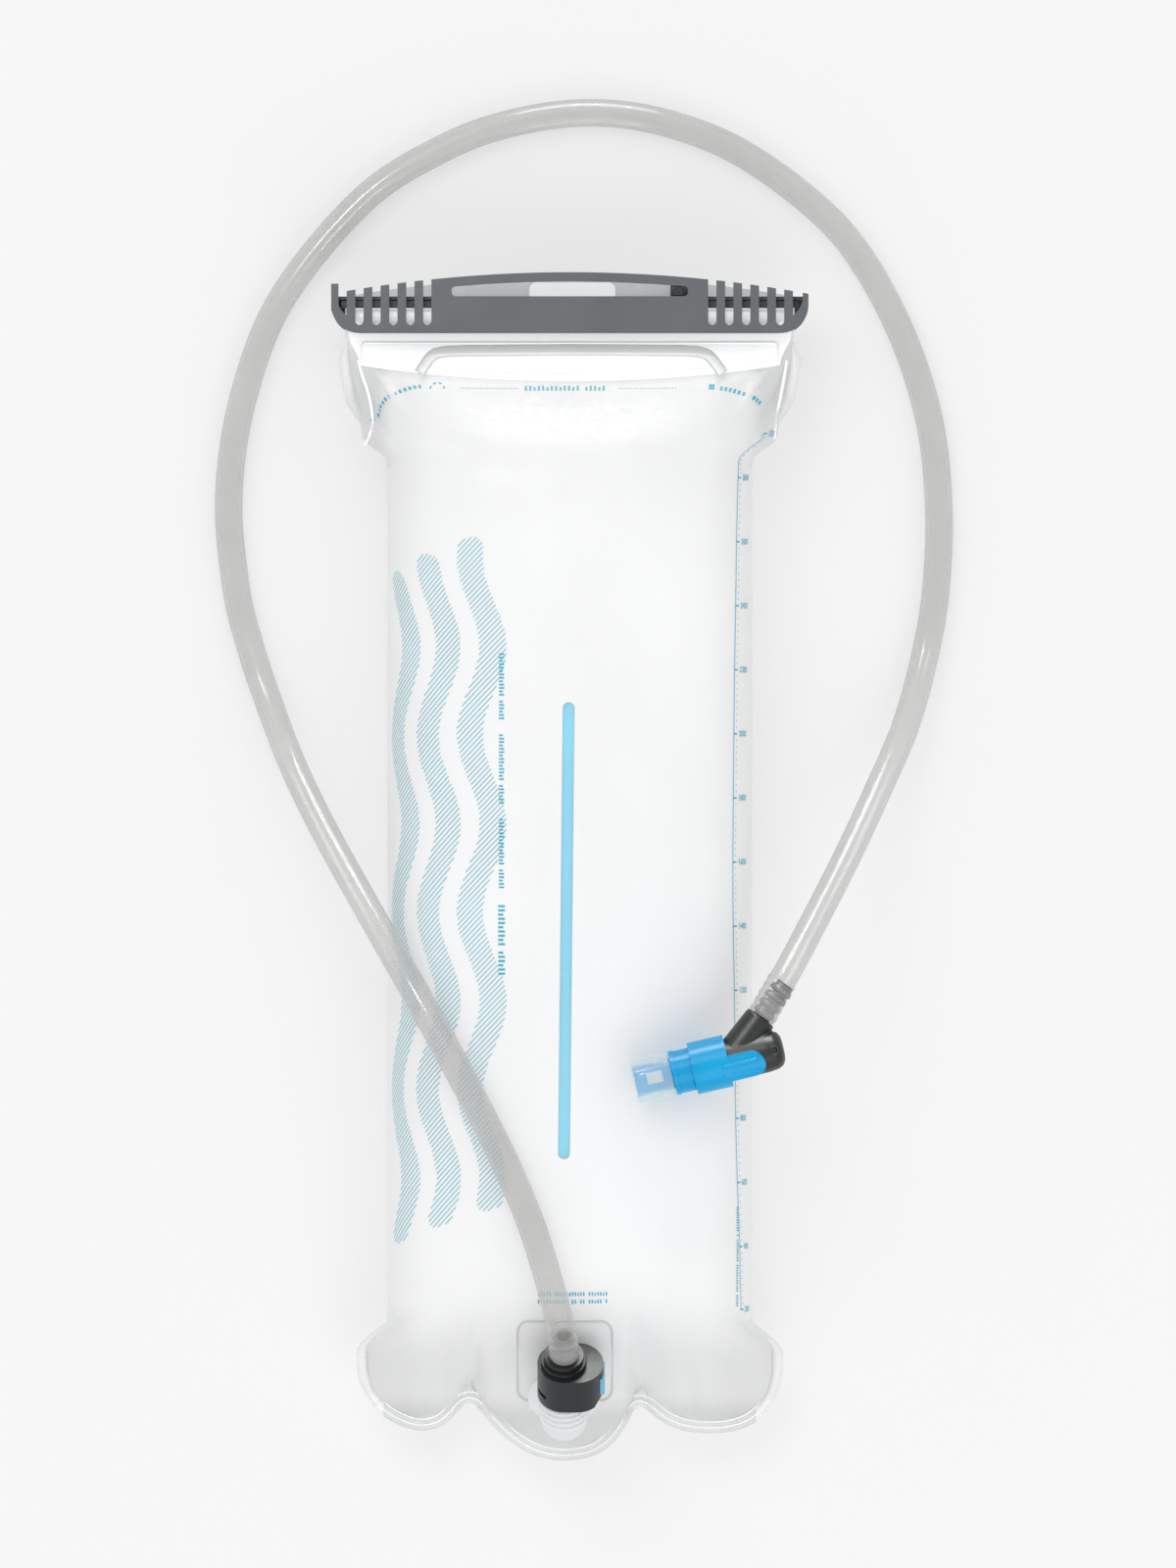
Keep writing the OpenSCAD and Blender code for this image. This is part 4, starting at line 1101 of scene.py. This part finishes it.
arcMark(-52.2, 151.8, 19.9, 157, 92, 13, 1.2)
arcMark(-47.1, 170.5, 2.6, 172, 8, 4, 0.5)
arcMark(50.3, 140.7, 30.5, 84, 55, 10, 1.4)
printDot(43.4, 171.6, 0.9)
fillLine = {"y": 170.9, "left": -16, "right": 15, "pitch": 0.9, "dots": 20, "bow": 0.0006}
for k in range(fillLine["dots"]):
    run = k * fillLine["pitch"]
    y = fillLine["y"] + fillLine["bow"] * run ** 2
    printDot(fillLine["left"] - run, y, 0.16)
    printDot(fillLine["right"] + run, y, 0.16)


def buildPrint():
    # all the ink as one piece
    faces = [face for group in printed["faces"] for face in group.tolist()]
    finish(addMesh("printing", np.concatenate(printed["points"]), faces), "ink")


buildPrint()

print("stage: studio")

# lights are a place and a size in metres, a power, and whether they light rough surfaces too
room = {
    "world": 0.77, "floorHalf": 3000.0, "floorZ": -0.3, "floorTone": 0.60, "floorGlow": 0.335,
    "lights": {"keyLight": ((-0.5, 1.0, 1.8), 1.2, 7, True), "fillLight": ((0.5, -1.3, 1.5), 1.4, 7, True),
               "topLight": ((0.0, 1.7, 0.5), 0.7, 34, False), "slimLight": ((-0.55, 0.75, 1.5), 0.24, 10, False)},
}


def makeStudio():
    # an even pale sky, a floor with no gloss, and lights aimed at the origin
    world = bpy.data.worlds.new("paleWorld")
    world.use_nodes = True
    sky = world.node_tree.nodes["Background"]
    sky.inputs["Color"].default_value = (1, 1, 1, 1)
    sky.inputs["Strength"].default_value = room["world"]
    bpy.context.scene.world = world
    bpy.context.scene.view_settings.view_transform = "Standard"
    half, z, tone = room["floorHalf"], room["floorZ"], room["floorTone"]
    floor = addMesh("floor", [(-half, -half, z), (half, -half, z), (half, half, z), (-half, half, z)], [[0, 1, 2, 3]])
    material, tree, shader = newMaterial("paleFloor", (tone, tone, tone), 0.9)
    glowing(shader, room["floorGlow"])
    shader.inputs["Specular IOR Level"].default_value = 0.0
    floor.data.materials.append(material)
    for name, (place, size, watts, soft) in room["lights"].items():
        data = bpy.data.lights.new(name, "AREA")
        data.size = size
        data.energy = watts
        light = show(bpy.data.objects.new(name, data))
        light.location = place
        light.visible_diffuse = soft
        light.rotation_euler = (-light.location).to_track_quat("-Z", "Y").to_euler()


makeStudio()
